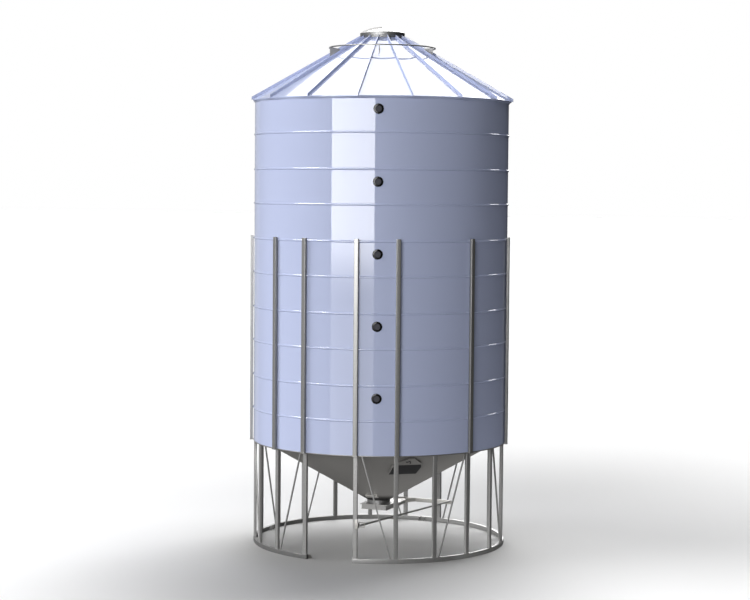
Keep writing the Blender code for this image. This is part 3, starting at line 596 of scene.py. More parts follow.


# Painted shade: the base ring's metal darkened round a place at the front left of the ring.
RING_PAINTED_SHADE = ((-1.4, -1.7, 0.04), (1.1, 1.7), 0.5)
# Painted shade: the cone darkened at its foot, just above the outlet collar.
CONE_FOOT_PAINTED_SHADE = (CONE_FOOT_Z + 0.035, CONE_FOOT_Z + 0.15)
WALL_PAINT = coated_sheet("wall_paint", (0.545, 0.604, 0.835))
ZINC = galvanised("zinc", (0.36, 0.358, 0.353), 0.36, 0.45)
BRIGHT_ZINC = galvanised("bright_zinc", (0.6, 0.585, 0.555), 0.3, 0.4)
RAIL_METAL = galvanised("rail_metal", (0.2, 0.198, 0.192), 0.28, 0.75)
GUSSET_METAL = galvanised("gusset_metal", (0.3, 0.297, 0.29), 0.45, 0.1)
GATE_ZINC = galvanised("gate_zinc", (0.5, 0.495, 0.485), 0.34, 0.45)
OUTLET_METAL = spun_metal("outlet_metal", (0.5, 0.5, 0.5), 0.36)
POST_ZINC = galvanised("post_zinc", (0.27, 0.268, 0.262), 0.34, 0.5)
# Painted shade: a duller, less mirror-like copy of the post metal, so that one post at the left edge shows
# darker.
DIMMED_ZINC = galvanised("dimmed_zinc", (0.3, 0.298, 0.292), 0.5, 0.25)
RING_ZINC = galvanised("ring_zinc", (0.36, 0.358, 0.353), 0.36, 0.45, RING_PAINTED_SHADE)
CONE_COAT = dull_coat("cone_coat", (0.335, 0.325, 0.312), CONE_FOOT_PAINTED_SHADE)
# Painted shade: the hatch's neck in a darker colour than the cone round it.
NECK_SHADE_COAT = dull_coat("neck_shade_coat", (0.19, 0.184, 0.176))
HATCH_DARK = dull_coat("hatch_dark", (0.045, 0.045, 0.048))
CHROME = spun_metal("chrome", (0.22, 0.22, 0.22), 0.5)
LID_WHITE = coated_sheet("lid_white", (0.86, 0.85, 0.83))
BLACK = glossy_black("black_rim")
PANE = dark_pane("pane")


# Mesh helpers


def add_object(name, data):
    made = bpy.data.objects.new(name, data)
    bpy.context.collection.objects.link(made)
    return made


def plain_mesh(name, bm):
    mesh = bpy.data.meshes.new(name)
    bm.to_mesh(mesh)
    bm.free()
    return mesh


def clean_mesh(name, bm):
    """Mesh with doubled points joined and faces turned outwards."""
    bmesh.ops.remove_doubles(bm, verts=bm.verts, dist=1e-6)
    bmesh.ops.recalc_face_normals(bm, faces=bm.faces)
    return plain_mesh(name, bm)


def finish(name, bm, materials, slot, *stands_for, body="silo", crease=CREASE):
    """Turns a bmesh into a piece that rides on a body."""
    mesh = clean_mesh(name, bm)
    for material in materials:
        mesh.materials.append(material)
    mesh.shade_smooth()
    mesh.set_sharp_from_angle(angle=radians(crease))
    piece = add_object(name, mesh)
    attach(piece, body)
    if stands_for:
        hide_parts(*stands_for)
    return piece


def loft(bm, loops, closed=False, material=0):
    """Joins equal loops of points in turn, and caps both ends unless they close a ring."""
    made = [[bm.verts.new(point) for point in loop] for loop in loops]
    faces = []
    for first, second in zip(made, made[1:] + made[:1] if closed else made[1:]):
        count = len(first)
        for i in range(count):
            j = (i + 1) % count
            faces.append(bm.faces.new((first[i], first[j], second[j], second[i])))
    if not closed:
        faces.append(bm.faces.new(made[0]))
        faces.append(bm.faces.new(made[-1]))
    for face in faces:
        face.material_index = material


def arc(cx, cy, radius, start, end, steps):
    """Points of an arc in degrees, as (x, y)."""
    angles = [radians(start + (end - start) * i / steps) for i in range(steps + 1)]
    return [(cx + radius * cos(a), cy + radius * sin(a)) for a in angles]


def rounded_rectangle(width, height, corner):
    """Outline of (x, y) points about its middle."""
    points = []
    for quadrant, (sx, sy) in enumerate(((1, 1), (-1, 1), (-1, -1), (1, -1))):
        cx, cy = sx * (width / 2 - corner), sy * (height / 2 - corner)
        points += arc(cx, cy, corner, 90.0 * quadrant, 90.0 * (quadrant + 1), CORNER_STEPS)
    return points


def inset_outline(outline, amount):
    """Outline drawn towards its middle by about the amount."""
    wide = max(x for x, _ in outline)
    high = max(y for _, y in outline)
    return [(x * (wide - amount) / wide, y * (high - amount) / high) for x, y in outline]


def spanned(place, side, rise, outline):
    """Points of an (x, y) outline that two directions span at a place."""
    return [place + side * x + rise * y for x, y in outline]


def bar(bm, start, end, side, rise, outline, material=0):
    """Straight bar with the outline spanned by two directions, and softened ends."""
    step = (end - start).normalized() * SOFT_EDGE
    small = inset_outline(outline, SOFT_EDGE)
    stations = ((start, small), (start + step, outline), (end - step, outline), (end, small))
    loft(bm, [spanned(place, side, rise, shape) for place, shape in stations], material=material)


def plate(bm, outline, push, material=0, edge=FINE_EDGE):
    """Flat plate with a given outline and softened rims."""
    middle = sum(outline, Vector()) / len(outline)
    run = push.normalized()

    def shrunk(amount):
        return [point + (middle - point).normalized() * amount for point in outline]

    stations = ((0.0, edge), (edge, 0.0), (push.length - edge, 0.0), (push.length, edge))
    loft(bm, [[p + run * depth for p in shrunk(inset)] for depth, inset in stations], material=material)


def standing_plate(bm, azimuth, corners, material=0):
    """Thin plate that stands along a spoke, from (radius, height) corners."""
    outline = [at(azimuth, radius, z) - across(azimuth) * STAND_THICKNESS / 2 for radius, z in corners]
    plate(bm, outline, across(azimuth) * STAND_THICKNESS, material)


def upright_tube(bm, azimuth, inner, outer, bottom, top, material=0):
    """Rounded tube that stands square to the silo's axis."""
    middle = at(azimuth, (inner + outer) / 2, 0.0)
    outline = rounded_rectangle(TUBE_WIDTH, outer - inner, TUBE_CORNER)
    bar(bm, middle + UP * bottom, middle + UP * top, across(azimuth), outward(azimuth), outline, material)


def arc_tube(bm, inner, outer, bottom, top, start, end, corner, edge=SOFT_EDGE, material=0):
    """Rounded tube bent along part of a circle."""
    outline = rounded_rectangle(outer - inner, top - bottom, corner)
    middle_radius, middle_z = (inner + outer) / 2, (bottom + top) / 2
    lead = along_ring(edge, middle_radius)
    small = inset_outline(outline, edge)
    angles = [start + lead + (end - start - 2 * lead) * i / ARC_STEPS for i in range(ARC_STEPS + 1)]
    stations = [(start, small)] + [(a, outline) for a in angles] + [(end, small)]
    loft(bm, [[at(a, middle_radius + x, middle_z + y) for x, y in shape] for a, shape in stations],
         material=material)


def turned(bm, profile, sides, start=0.0, middle=Vector(), turn=None, material=0, closed=True):
    """Turns a profile of (radius, height) points round an axis; a closed profile comes back to its start."""
    turn = turn or Matrix.Identity(3)
    made = []
    for i in range(sides):
        azimuth = start + 360.0 * i / sides
        made.append([bm.verts.new(middle + turn @ at(azimuth, radius, z)) for radius, z in profile])
    count = len(profile)
    for first, second in zip(made, made[1:] + made[:1]):
        meets = [(one.co - two.co).length < TOUCHING for one, two in zip(first, second)]
        for i in range(count if closed else count - 1):
            j = (i + 1) % count
            if meets[i] and meets[j]:
                continue
            corners = [first[i], first[j]]
            if not meets[j]:
                corners.append(second[j])
            if not meets[i]:
                corners.append(second[i])
            bm.faces.new(corners).material_index = material


def facing(normal):
    """Turn that takes +Z to a direction."""
    return normal.to_track_quat("Z", "Y").to_matrix()


def bolt(bm, place, normal, size):
    """Hexagon head on a washer."""
    for profile, sides in ((WASHER, WASHER_SIDES), (BOLT_HEAD, BOLT_SIDES)):
        scaled = [(radius * size, z * size) for radius, z in profile]
        turned(bm, scaled, sides, middle=place, turn=facing(normal), closed=False)


# Wall and sight glasses


def bead_profile(z):
    """Half-round bead with small fillets where it leaves the sheet."""
    points = []
    for i in range(BEAD_STEPS + 1):
        share = i / BEAD_STEPS
        swell = sin(pi * share) ** BEAD_FULLNESS
        points.append((WALL_RADIUS + BEAD_PROUD * swell, z - BEAD_HALF_HEIGHT + 2 * BEAD_HALF_HEIGHT * share))
    return points


def cut_glass_hole(piece, centre):
    hole = bmesh.new()
    profile = [(0, -HOLE_REACH), (HOLE_RADIUS, -HOLE_REACH), (HOLE_RADIUS, HOLE_REACH), (0, HOLE_REACH)]
    turned(hole, profile, GLASS_SIDES, middle=centre, turn=facing(outward(GLASS_AZIMUTH)), closed=False)
    cutter = add_object("hole", clean_mesh("hole", hole))
    cut = piece.modifiers.new("hole", "BOOLEAN")
    cut.operation = "DIFFERENCE"
    cut.solver = "EXACT"
    cut.object = cutter
    bpy.context.view_layer.update()
    graph = bpy.context.evaluated_depsgraph_get()
    piece.data = bpy.data.meshes.new_from_object(piece.evaluated_get(graph))
    piece.modifiers.clear()
    piece.data.set_sharp_from_angle(angle=radians(CREASE))
    bpy.data.objects.remove(cutter, do_unlink=True)


def wall_course(number):
    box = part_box(f"wall_ring_{number}")
    foot, head = box[0][2], box[1][2]
    middle = WALL_FOOT + SHEET_HEIGHT * (number - 0.5) - MIDDLE_BEAD_DROP
    glass = glass_height(number)
    joint = WALL_FOOT + SHEET_HEIGHT * (number - 1) - JOINT_BEAD_DROP
    beads = [middle] if number == 1 else [joint, middle]
    inner = WALL_RADIUS - WALL_THICKNESS
    outer = [(WALL_RADIUS - SOFT_EDGE, foot), (WALL_RADIUS, foot + SOFT_EDGE)]
    for z in beads:
        outer += bead_profile(z)
    outer += [(WALL_RADIUS, glass - GLASS_PATCH), (WALL_RADIUS, glass + GLASS_PATCH)]
    outer += [(WALL_RADIUS, head - SOFT_EDGE), (WALL_RADIUS - SOFT_EDGE, head)]
    profile = sorted(outer, key=lambda point: point[1])
    profile += [(inner, head), (inner, glass + GLASS_PATCH), (inner, glass - GLASS_PATCH), (inner, foot)]
    bm = bmesh.new()
    turned(bm, profile, WALL_SIDES, GLASS_AZIMUTH)
    piece = finish(f"wall_course_{number}", bm, [WALL_PAINT], "painted_sheet", f"wall_ring_{number}")
    cut_glass_hole(piece, at(GLASS_AZIMUTH, WALL_RADIUS, glass))


def sight_glass(number):
    """Scalloped black rim round a dark pane, with the plug behind it."""
    flat = WALL_RADIUS * cos(radians(WALL_FLAT_HALF_ANGLE))
    middle = at(GLASS_AZIMUTH, flat, glass_height(number))
    turn = facing(outward(GLASS_AZIMUTH))
    bm = bmesh.new()
    rim = list(RIM_BACK)
    for i in range(RIM_ROUND_STEPS + 1):
        angle = pi / 2 * i / RIM_ROUND_STEPS
        rim.append((RIM_ROUND_CENTRE[0] + RIM_ROUND_REACH[0] * cos(angle),
                    RIM_ROUND_CENTRE[1] + RIM_ROUND_REACH[1] * sin(angle)))
    rim += RIM_FRONT
    loops = []
    for i in range(GLASS_SIDES):
        angle = 2 * pi * i / GLASS_SIDES
        lobe = LOBE_DEPTH * (0.5 - 0.5 * cos(LOBE_COUNT * angle)) ** 2
        loop = []
        for radius, height in rim:
            reach = radius - lobe * max(0.0, (radius - LOBE_START) / LOBE_RUN)
            loop.append(middle + turn @ Vector((reach * cos(angle), reach * sin(angle), height)))
        loops.append(loop)
    loft(bm, loops, closed=True)
    turned(bm, PANE_PROFILE, GLASS_SIDES, middle=middle, turn=turn, material=1, closed=False)
    finish(f"sight_port_{number}", bm, [BLACK, PANE], "black_rim", f"sight_glass_{number}")


# Legs, posts, rings and braces


def weld_frame(bm, azimuth, inner, outer, z):
    """Low fillet of weld round a tube's foot."""
    loops = []
    for grow, rise in WELD_SHAPE:
        depth = outer - inner + 2 * min(grow, WELD_SIDE_LIMIT)
        outline = rounded_rectangle(TUBE_WIDTH + 2 * grow, depth, TUBE_CORNER)
        middle = at(azimuth, (inner + outer) / 2, z) + UP * rise
        loops.append(spanned(middle, across(azimuth), outward(azimuth), outline))
    loft(bm, loops)


def cleat(bm, azimuth, side):
    """Bolting plate inside the base ring, with its bolts on the face away from the neighbouring quarter."""
    standing_plate(bm, azimuth, CLEAT)
    for z in CLEAT_BOLT_HEIGHTS:
        face = at(azimuth, CLEAT_BOLT_RADIUS, z) - across(azimuth) * STAND_THICKNESS / 2 * side
        bolt(bm, face, across(azimuth) * -side, CLEAT_BOLT_SIZE)


def base_quarter(number):
    """Quarter of the base ring with its legs, its cleats, and the gusset beside the open bay."""
    start, end = quarter_limits(number)
    open_end = OPEN_BAY_HALF_ANGLE - along_ring(TUBE_WIDTH / 2 + OPEN_END_REACH)
    ring_start = open_end if number == 1 else start + along_ring(GAP / 2)
    ring_end = 360.0 - open_end if number == QUARTERS else end - along_ring(GAP / 2)
    bm = bmesh.new()
    arc_tube(bm, RING_INNER, RING_OUTER, 0.0, RING_HEIGHT, ring_start, ring_end, RING_CORNER, material=1)
    for leg in range(LEGS_IN_QUARTER * (number - 1) + 1, LEGS_IN_QUARTER * number + 1):
        azimuth = leg_azimuth(leg)
        upright_tube(bm, azimuth, LEG_INNER, LEG_OUTER, RING_HEIGHT - LEG_SINK, BEARING_BOTTOM - GAP)
        weld_frame(bm, azimuth, LEG_INNER, LEG_OUTER, RING_HEIGHT)
    for tip, side, open_quarter in ((ring_start, -1, 1), (ring_end, 1, QUARTERS)):
        if number == open_quarter:
            standing_plate(bm, tip - along_ring(FOOT_GUSSET_SHIFT) * side, FOOT_GUSSET, material=2)
        else:
            cleat(bm, tip - along_ring(CLEAT_SHIFT) * side, side)
    finish(f"leg_frame_{number}", bm, [ZINC, RING_ZINC, BRIGHT_ZINC], "galvanised_steel",
           f"base_frame_{number}")


def post_quarter(number):
    """Quarter of the bearing ring with its tabs and tall posts."""
    start, end = quarter_limits(number)
    half_gap = along_ring(GAP / 2)
    bm = bmesh.new()
    arc_tube(bm, BEARING_INNER, BEARING_OUTER, BEARING_BOTTOM, BEARING_TOP,
             start + half_gap, end - half_gap, BEARING_CORNER, edge=FINE_EDGE)
    for leg in POST_LEGS[number]:
        azimuth = leg_azimuth(leg)
        tab = [at(azimuth, radius, TAB_FOOT) + across(azimuth) * shift for radius, shift in TAB]
        plate(bm, tab, UP * TAB_THICKNESS)
        upright_tube(bm, azimuth, POST_INNER, POST_OUTER, POST_FOOT, POST_TOP, material=int(leg == DIMMED_POST_LEG))
        weld_frame(bm, azimuth, POST_INNER + POST_WELD_INSET, POST_OUTER - POST_WELD_INSET,
                   BEARING_TOP - POST_WELD_INSET)
    finish(f"post_frame_{number}", bm, [POST_ZINC, DIMMED_ZINC], "galvanised_steel", f"upper_frame_{number}")


def strut(number):
    """Sloping bar, taken from where its solid stands."""
    low_leg, high_leg = leg_azimuth(2 * number - 1), leg_azimuth(2 * number)
    foot_shift = along_ring(TUBE_WIDTH / 2 + BRACE_FOOT_OFFSET)
    head_shift = along_ring(TUBE_WIDTH / 2 + CLOSE_BRACE_HEADS.get(number, BRACE_HEAD_OFFSET))
    lean = 1 if number % 2 else -1
    head_leg, foot_leg = (low_leg, high_leg)[::lean]
    foot = at(foot_leg - foot_shift * lean, RING_MIDDLE, RING_HEIGHT + GAP)
    head = at(head_leg + head_shift * lean, RING_MIDDLE, BEARING_BOTTOM - GAP)
    middle = (low_leg + high_leg) / 2
    outline = rounded_rectangle(*BRACE_SECTION)
    bm = bmesh.new()
    loft(bm, [spanned(end, across(middle), outward(middle), outline) for end in (foot, head)])
    finish(f"strut_{number}", bm, [ZINC], "galvanised_steel", f"brace_{number}")


# Cone, outlet, hatch and cover plate


def cone_sheet():
    """Cone of sheet with an upright rim inside the wall."""
    rim_inner = CONE_RIM_RADIUS - WALL_THICKNESS
    rim_top = cone_height(CONE_RIM_RADIUS) + CONE_RIM_HEIGHT
    bend_run, bend_rise = CONE_BEND
    profile = [
        (OUTLET_RADIUS, CONE_FOOT_Z), (COLLAR_RADIUS, CONE_FOOT_Z),
        (CONE_RIM_RADIUS - bend_run, cone_height(CONE_RIM_RADIUS - bend_run)),
        (CONE_RIM_RADIUS, cone_height(CONE_RIM_RADIUS) + bend_rise),
        (CONE_RIM_RADIUS, rim_top), (rim_inner, rim_top),
        (rim_inner, cone_height(rim_inner) + CONE_SHEET_RISE),
        (OUTLET_RADIUS, cone_height(OUTLET_RADIUS) + CONE_SHEET_RISE),
    ]
    bm = bmesh.new()
    turned(bm, profile, sides=192, start=GLASS_AZIMUTH)
    finish("cone_sheet", bm, [CONE_COAT], "cone_steel", "hopper_cone")


def outlet_ring():
    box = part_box("outlet_collar")
    foot, top = box[0][2], box[1][2]
    lip_top = foot + COLLAR_LIP_HEIGHT
    profile = [
        (OUTLET_RADIUS, foot), (COLLAR_LIP - SOFT_EDGE, foot), (COLLAR_LIP, foot + SOFT_EDGE),
        (COLLAR_LIP, lip_top - SOFT_EDGE), (COLLAR_LIP - SOFT_EDGE, lip_top),
        (COLLAR_RADIUS + COLLAR_FILLET, lip_top), (COLLAR_RADIUS, lip_top + COLLAR_FILLET),
        (COLLAR_RADIUS, top), (OUTLET_RADIUS, top),
    ]
    bm = bmesh.new()
    turned(bm, profile, sides=128)
    finish("outlet_ring", bm, [OUTLET_METAL], "bright_steel", "outlet_collar")


class ConePlace:
    """Directions at a place on the cone's outer face."""

    def __init__(self, azimuth, radius):
        self.side = across(azimuth)
        self.up = outward(azimuth) * cos(CONE_LEAN) + UP * sin(CONE_LEAN)
        self.away = outward(azimuth) * sin(CONE_LEAN) - UP * cos(CONE_LEAN)
        self.middle = at(azimuth, radius, cone_height(radius))

    def point(self, x, s, height):
        return self.middle + self.side * x + self.up * s + self.away * height

    def points(self, outline, height):
        return [self.point(x, s, height) for x, s in outline]

    def seated(self, x, s):
        """Point on the cone's face straight behind (x, s)."""
        start = self.point(x, s, 0.0)
        drop = cone_height(hypot(start.x, start.y)) - start.z
        return start - self.away * drop * cos(CONE_LEAN)


def both_halves(half):
    return [*half, *[(-x, s) for x, s in reversed(half)]]


def cone_boss(name, place, outline, proud, material, slot, stands_for):
    """Piece that stands up from the cone's face."""
    bm = bmesh.new()
    loft(bm, [[place.seated(x, s) for x, s in outline], place.points(outline, proud)])
    finish(name, bm, [material], slot, stands_for, crease=25.0)


def hatch():
    """Neck on the cone and its cover: a pale upper leaf with a latch over a dark lower leaf. The neck is
    painted darker than the cone, as painted shade.
    """
    place = ConePlace(HATCH_AZIMUTH, HATCH_RADIUS)
    neck = both_halves(HATCH_HALF)
    cone_boss("hatch_body", place, neck, HATCH_PROUD, NECK_SHADE_COAT, "cone_steel", "hatch_neck")
    cover = bmesh.new()
    seat = HATCH_PROUD + GAP
    face = seat + HATCH_LID
    grown = both_halves([(x + HATCH_OVERHANG, s + copysign(HATCH_OVERHANG, s)) for x, s in HATCH_HALF])
    plate(cover, place.points(grown, seat), place.away * HATCH_LID, edge=0.002)
    lower = place.points(both_halves(LEAF_HALF), face - LEAF_SINK)
    plate(cover, lower, place.away * LEAF_THICKNESS, material=1)
    rod = place.points(LATCH_PATH, face + LATCH_HEIGHT)
    section = rounded_rectangle(*LATCH_SECTION)
    for first, second in zip(rod, rod[1:]):
        sideways = (second - first).normalized().cross(place.away).normalized()
        bar(cover, first, second, sideways, place.away, section, material=1)
    for foot in place.points((LATCH_PATH[0], LATCH_PATH[-1]), face - LATCH_FOOT_SINK):
        bar(cover, foot, foot + place.away * LATCH_FOOT_LENGTH, place.side, place.up, section, material=1)
    finish("hatch_leaf", cover, [CONE_COAT, HATCH_DARK], "cone_steel", "hatch_cover", crease=30.0)


def cover_plate():
    place = ConePlace(PLATE_AZIMUTH, PLATE_RADIUS)
    wide, high = PLATE_HALF
    across_plate = [wide * (2 * i / PLATE_STEPS - 1) for i in range(PLATE_STEPS + 1)]
    outline = [(x, -high) for x in across_plate] + [(x, high) for x in reversed(across_plate)]
    cone_boss("cone_patch", place, outline, PLATE_PROUD, BRIGHT_ZINC, "bright_steel", "cone_cover_plate")


# Gate


def softened(node, name, width, metal, slot, body="silo"):
    """Copy of a solid node with its edges rounded off."""
    bm = bmesh.new()
    bm.from_mesh(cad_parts[node].data)
    bmesh.ops.remove_doubles(bm, verts=bm.verts, dist=1e-5)
    bmesh.ops.dissolve_limit(bm, angle_limit=radians(1.0), verts=bm.verts, edges=bm.edges)
    bmesh.ops.recalc_face_normals(bm, faces=bm.faces)
    sharp = radians(SHARP_ANGLE)
    edges = [edge for edge in bm.edges if edge.is_manifold and edge.calc_face_angle(0.0) > sharp]
    bmesh.ops.bevel(bm, geom=edges, offset=width, segments=2, profile=0.6, affect="EDGES", clamp_overlap=True)
    for face in bm.faces:
        face.material_index = 0
    finish(name, bm, [metal], slot, node, body=body)


def slide_rod():
    length = (ROD_FRONT - ROD_BACK).length
    rim = ROD_RADIUS - ROD_EDGE
    profile = [(0.0, 0.0), (rim, 0.0), (ROD_RADIUS, ROD_EDGE),
               (ROD_RADIUS, length - ROD_EDGE), (rim, length), (0.0, length)]
    run = (ROD_FRONT - ROD_BACK).normalized()
    bm = bmesh.new()
    turned(bm, profile, sides=32, middle=ROD_BACK, turn=facing(run), closed=False)
    finish("slide_rod", bm, [ZINC], "galvanised_steel", "pull_rod", body="gate")


def gate_screws():
    """Screws along the edges of the gate's top plate and on the bracket of the rod's eye."""
    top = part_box("gate_housing")[1][2] - SCREW_SINK
    bm = bmesh.new()
    for x in (-SCREW_X, SCREW_X):
        for y in SCREW_Y:
            bolt(bm, Vector((x, y, top)), UP, SCREW_SIZE)
    azimuth = leg_azimuth(1)
    for z in EYE_SCREW_HEIGHTS:
        place = at(azimuth, EYE_FACE, z) + across(azimuth) * EYE_SCREW_SHIFT
        bolt(bm, place, outward(azimuth), EYE_SCREW_SIZE)
    finish("gate_screws", bm, [BRIGHT_ZINC], "bright_steel")


# Roof, eave, cap, lid and rail


def roof_rib(bm, azimuth):
    """Thin upright seam with upright ends."""

    def outline(inset):
        inner, outer, rise = RIB_INNER + inset, RIB_OUTER - inset, RIB_RISE - inset
        corners = ((inner, -RIB_SINK), (outer, -RIB_SINK), (outer, rise), (inner, rise))
        return [at(azimuth, radius, roof_height(radius) + height) for radius, height in corners]

    half = RIB_HALF_WIDTH
    stations = ((-half, SOFT_EDGE), (SOFT_EDGE - half, 0.0), (half - SOFT_EDGE, 0.0), (half, SOFT_EDGE))
    loft(bm, [[p + across(azimuth) * shift for p in outline(inset)] for shift, inset in stations])


def roof_quarter(number):
    """Four flat panels between the seams beside two ribs, and their four ribs."""
    first = PANELS // QUARTERS * (number - 1)
    last = first + PANELS // QUARTERS

    def beside(index, radius, distance):
        corner = roof_corner(index, radius)
        return corner + (roof_corner(index - 1, radius) - corner).normalized() * distance

    def line(radius, sink=0.0):
        points = [beside(first, radius, SEAM_OFFSET)]
        points += [roof_corner(i, radius) for i in range(first, last)]
        points += [beside(last, radius, SEAM_OFFSET + GAP)]
        return [point - UP * sink for point in points]

    bm = bmesh.new()
    tip = EAVE_CORNER - SOFT_EDGE
    rows = [line(ROOF_INNER), line(tip), line(EAVE_CORNER, SOFT_EDGE),
            line(EAVE_CORNER, ROOF_DROP - SOFT_EDGE), line(tip, ROOF_DROP), line(ROOF_INNER, ROOF_DROP)]
    made = [[bm.verts.new(point) for point in row] for row in rows]
    for one, two in zip(made, made[1:] + made[:1]):
        for i in range(len(one) - 1):
            bm.faces.new((one[i], one[i + 1], two[i + 1], two[i]))
    for end in (0, -1):
        bm.faces.new([row[end] for row in made])
    finish(f"roof_sheet_{number}", bm, [WALL_PAINT], "painted_sheet", f"roof_quarter_{number}", crease=8.0)

    ribs = bmesh.new()
    for index in range(first, last):
        roof_rib(ribs, FIRST_RIB + PANEL_ANGLE * index)
    finish(f"roof_ribs_{number}", ribs, [WALL_PAINT], "painted_sheet")


def eave():
    """Sloping strip from the wall's head out to the roof's many-sided edge."""
    tip_top = roof_height(EAVE_TIP) - ROOF_DROP - GAP
    foot = WALL_HEAD + GAP
    loops = []
    for i in range(EAVE_SIDES):
        turn = (360.0 * i / EAVE_SIDES) % PANEL_ANGLE - PANEL_ANGLE / 2
        tip = EAVE_TIP * cos(radians(PANEL_ANGLE / 2)) / cos(radians(turn))
        section = [(EAVE_INNER, foot), (EAVE_REST, foot), (tip - FINE_EDGE, tip_top - EAVE_LIP),
                   (tip, tip_top - EAVE_LIP + FINE_EDGE), (tip, tip_top - FINE_EDGE),
                   (tip - FINE_EDGE, tip_top), (EAVE_INNER, foot + EAVE_SHEET)]
        loops.append([at(FIRST_RIB + 360.0 * i / EAVE_SIDES, radius, z) for radius, z in section])
    bm = bmesh.new()
    loft(bm, loops, closed=True)
    finish("eave_strip", bm, [WALL_PAINT], "painted_sheet", "eave_ring", crease=25.0)


def cap():
    """Flared neck with a rolled rim, and the two ears that hold the lid's pin."""
    bm = bmesh.new()
    profile = [*CAP_FOOT, *arc(*CAP_ROLL, -90, 0, 4), CAP_WAIST, *arc(*CAP_RIM, 0, 90, 5), *CAP_BORE]
    turned(bm, profile, CAP_SIDES)
    ear = [*EAR_FOOT, *arc(HINGE_Y, HINGE_Z, EAR_ROUND, 0, 180, EAR_ROUND_STEPS)[1:-1], *EAR_FRONT]
    for side in (-1, 1):
        outline = [Vector((side * EAR_X - EAR_THICKNESS / 2, y, z)) for y, z in ear]
        plate(bm, outline, Vector((EAR_THICKNESS, 0, 0)), edge=0.0008)
    finish("cap_ring", bm, [CHROME], "bright_steel", "cap_collar")


def dome_curve(radius, rise, foot):
    """Points of a spherical cap from its middle to its edge, as (radius, height)."""
    sphere = (radius ** 2 + rise ** 2) / (2 * rise)
    points = []
    for i in range(LID_STEPS + 1):
        share = i / LID_STEPS
        height = sqrt(sphere ** 2 - (radius * share) ** 2) - (sphere - rise)
        points.append((radius * share, foot + height))
    return points


def lid():
    """Domed lid with the strap and the pin of its hinge."""
    foot = CAP_TOP_Z + GAP
    rim_top = foot + LID_RIM_HEIGHT
    hollow = LID_RADIUS - 3 * LID_EDGE
    profile = dome_curve(LID_RADIUS, LID_DOME, rim_top)
    profile += [(LID_RADIUS, foot + LID_EDGE), (LID_RADIUS - LID_EDGE, foot),
                (LID_RADIUS - 2 * LID_EDGE, foot), (hollow, foot + LID_EDGE)]
    profile += reversed(dome_curve(hollow, LID_DOME - LID_SHEET, rim_top - LID_SHEET))
    bm = bmesh.new()
    turned(bm, profile, CAP_SIDES, closed=False)
    strap_start, strap_end = (Vector((0, y, HINGE_Z)) for y in STRAP_ENDS)
    sideways = Vector((1, 0, 0))
    bar(bm, strap_start, strap_end, sideways, UP, rounded_rectangle(*STRAP_SECTION))
    pin = Vector((PIN_START, HINGE_Y, HINGE_Z))
    turned(bm, PIN_PROFILE, sides=24, middle=pin, turn=facing(sideways), closed=False)
    finish("lid_dome", bm, [LID_WHITE], "white_lid", "cap_lid", body="lid")


def rail():
    """Round rail on gussets that stand just clear of the roof panels."""
    bm = bmesh.new()
    turned(bm, arc(RAIL_RADIUS, RAIL_Z, RAIL_TUBE, 0, 360, RAIL_STEPS)[:-1], RAIL_SIDES)
    for index in range(GUSSET_COUNT):
        azimuth = GUSSET_AZIMUTH + 360.0 * index / GUSSET_COUNT
        corners = []
        for radius in (GUSSET_INNER, GUSSET_OUTER):
            corners.append((radius, panel_height(azimuth, radius) + GUSSET_CLEAR))
        corners += [(GUSSET_OUTER, GUSSET_OUTER_TOP), (GUSSET_INNER, GUSSET_INNER_TOP)]
        standing_plate(bm, azimuth, corners, material=1)
    finish("rail_ring", bm, [RAIL_METAL, GUSSET_METAL], "galvanised_steel", "roof_rail")


# Studio


def add_lamp(name, kind, energy, towards):
    """Lamp that shines from a direction and isn't mirrored."""
    data = bpy.data.lights.new(name, kind)
    data.energy = energy
    lamp = add_object(name, data)
    lamp.rotation_mode = "QUATERNION"
    lamp.rotation_quaternion = towards.to_track_quat("Z", "Y")
    lamp.visible_glossy = False
    return lamp


def floor_bounce():
    """Light thrown up by the bright floor at the right of the silo."""
    bounce = add_lamp("floor_bounce", "AREA", BOUNCE_RADIANCE * pi * BOUNCE_SIZE ** 2, -UP)
    bounce.data.size = BOUNCE_SIZE
    bounce.location = on_floor(*BOUNCE_PLACE) + UP * BOUNCE_Z
    bounce.visible_camera = False


def stage_panel(name, bm, material):
    """Bright panel that shows only as a mirror image."""
    mesh = plain_mesh(name, bm)
    mesh.materials.append(material)
    panel = add_object(name, mesh)
    panel.visible_camera = False
    panel.visible_diffuse = False
    panel.visible_shadow = False


def mirrored_patch(name, azimuths, elevations, radiance, slant):
    """Part of a wide dome, between two azimuths and two elevations; its low edge rises by the slant."""
    bm = bmesh.new()
    bmesh.ops.create_grid(bm, x_segments=MIRRORED_STEPS, y_segments=MIRRORED_STEPS, size=0.5)
    for vert in bm.verts:
        sideways, upwards = vert.co.x + 0.5, vert.co.y + 0.5
        azimuth = azimuths[0] + (azimuths[1] - azimuths[0]) * sideways
        foot = elevations[0] + slant * sideways
        vert.co = raised(azimuth, foot + (elevations[1] - foot) * upwards) * MIRRORED_DISTANCE
    stage_panel(name, bm, Glow(name, radiance).material)


def window_light():
    """Tall bright panel in front of the silo that mirrors as an upright band on the wall."""
    bm = bmesh.new()
    left, right = (from_camera(azimuth) * WINDOW_DISTANCE for azimuth in WINDOW_EDGES)
    corners = (left, right, right + UP * WINDOW_HEAD, left + UP * WINDOW_HEAD)
    bm.faces.new([bm.verts.new(point) for point in corners])
    glow = Glow("window_glow", WINDOW_RADIANCE)
    height = glow.height(glow.node("TexCoord").outputs["Object"])
    glow.link(glow.smooth_range(height, WINDOW_FADE, (WINDOW_LOW_RADIANCE, WINDOW_RADIANCE)), glow.strength)
    stage_panel("window", bm, glow.material)


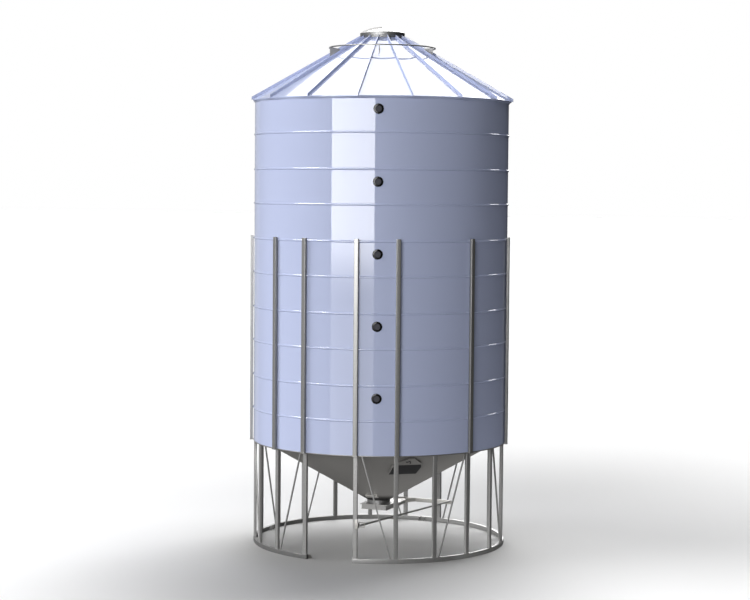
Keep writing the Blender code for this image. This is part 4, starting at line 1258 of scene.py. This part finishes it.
def sky():
    """White backdrop; weak even light on surfaces, and a brighter left side in what mirrors."""
    world = bpy.data.worlds.new("studio")
    bpy.context.scene.world = world
    nodes = Nodes(world)
    nodes.tree.nodes.clear()
    direction = nodes.node("TexCoord").outputs["Generated"]
    side = nodes.node("VectorMath", operation="DOT_PRODUCT")
    side.inputs[1].default_value = from_camera(SKY_AZIMUTH)
    nodes.link(direction, side.inputs[0])
    seen = nodes.node("LightPath").outputs

    def white(level=None):
        shade = nodes.node("Background")
        shade.inputs["Color"].default_value = (1.0, 1.0, 1.0, 1.0)
        if level:
            nodes.link(level, shade.inputs["Strength"])
        return shade.outputs["Background"]

    def mixed(share, first, second):
        mix = nodes.node("MixShader")
        for source, socket in zip((share, first, second), mix.inputs):
            nodes.link(source, socket)
        return mix.outputs["Shader"]

    soft = white(nodes.smooth_range(nodes.height(direction), SKY_BLEND, (GROUND_LIGHT, SKY_LIGHT)))
    mirrored = white(nodes.smooth_range(side.outputs["Value"], MIRROR_BLEND, (MIRROR_LOW, MIRROR_HIGH)))
    unseen = mixed(seen["Is Glossy Ray"], soft, mirrored)
    shown = mixed(seen["Is Camera Ray"], unseen, white())
    nodes.link(shown, nodes.node("OutputWorld").inputs["Surface"])


def studio():
    bm = bmesh.new()
    bmesh.ops.create_grid(bm, x_segments=1, y_segments=1, size=FLOOR_SIZE)
    mesh = plain_mesh("floor", bm)
    mesh.materials.append(floor_paint())
    ground = add_object("floor", mesh)
    ground.location.z = FLOOR_Z
    ground.visible_diffuse = False
    ground.visible_glossy = False
    for name, (azimuth, elevation, spread, strength) in SUNS.items():
        add_lamp(name, "SUN", strength, raised(azimuth, elevation)).data.angle = radians(spread)
    for name, values in MIRRORED.items():
        mirrored_patch(name, *values)
    floor_bounce()
    window_light()
    sky()


def camera():
    """The photograph's camera; yaw, pitch and roll are about the line from it to the silo's axis."""
    turn = Matrix.Rotation(radians(CAMERA_AZIMUTH) - CAMERA_YAW, 4, "Z")
    turn @= Matrix.Rotation(pi / 2 - CAMERA_PITCH, 4, "X") @ Matrix.Rotation(-CAMERA_ROLL, 4, "Z")
    data = bpy.data.cameras.new("camera")
    data.sensor_width = SENSOR_WIDTH
    data.lens = CAMERA_LENS
    data.clip_end = CAMERA_REACH
    made = add_object("camera", data)
    made.matrix_world = Matrix.Translation(at(CAMERA_AZIMUTH, CAMERA_DISTANCE, CAMERA_HEIGHT)) @ turn
    bpy.context.scene.camera = made


for course in range(1, COURSES + 1):
    wall_course(course)
    sight_glass(course)
for quarter in range(1, QUARTERS + 1):
    base_quarter(quarter)
    post_quarter(quarter)
    roof_quarter(quarter)
for brace in range(1, LEG_COUNT // 2 + 1):
    strut(brace)
cone_sheet()
outlet_ring()
hatch()
cover_plate()
softened("gate_housing", "gate_box", 0.0012, GATE_ZINC, "galvanised_steel")
softened("rod_eye", "rod_bracket", 0.0012, BRIGHT_ZINC, "galvanised_steel")
softened("gate_slide", "slide_plate", 0.001, BRIGHT_ZINC, "bright_steel", "gate")
softened("pull_arm", "slide_arm", 0.002, BRIGHT_ZINC, "galvanised_steel", "gate")
slide_rod()
gate_screws()
eave()
cap()
lid()
rail()
studio()
camera()
bpy.context.scene.view_settings.view_transform = "Standard"
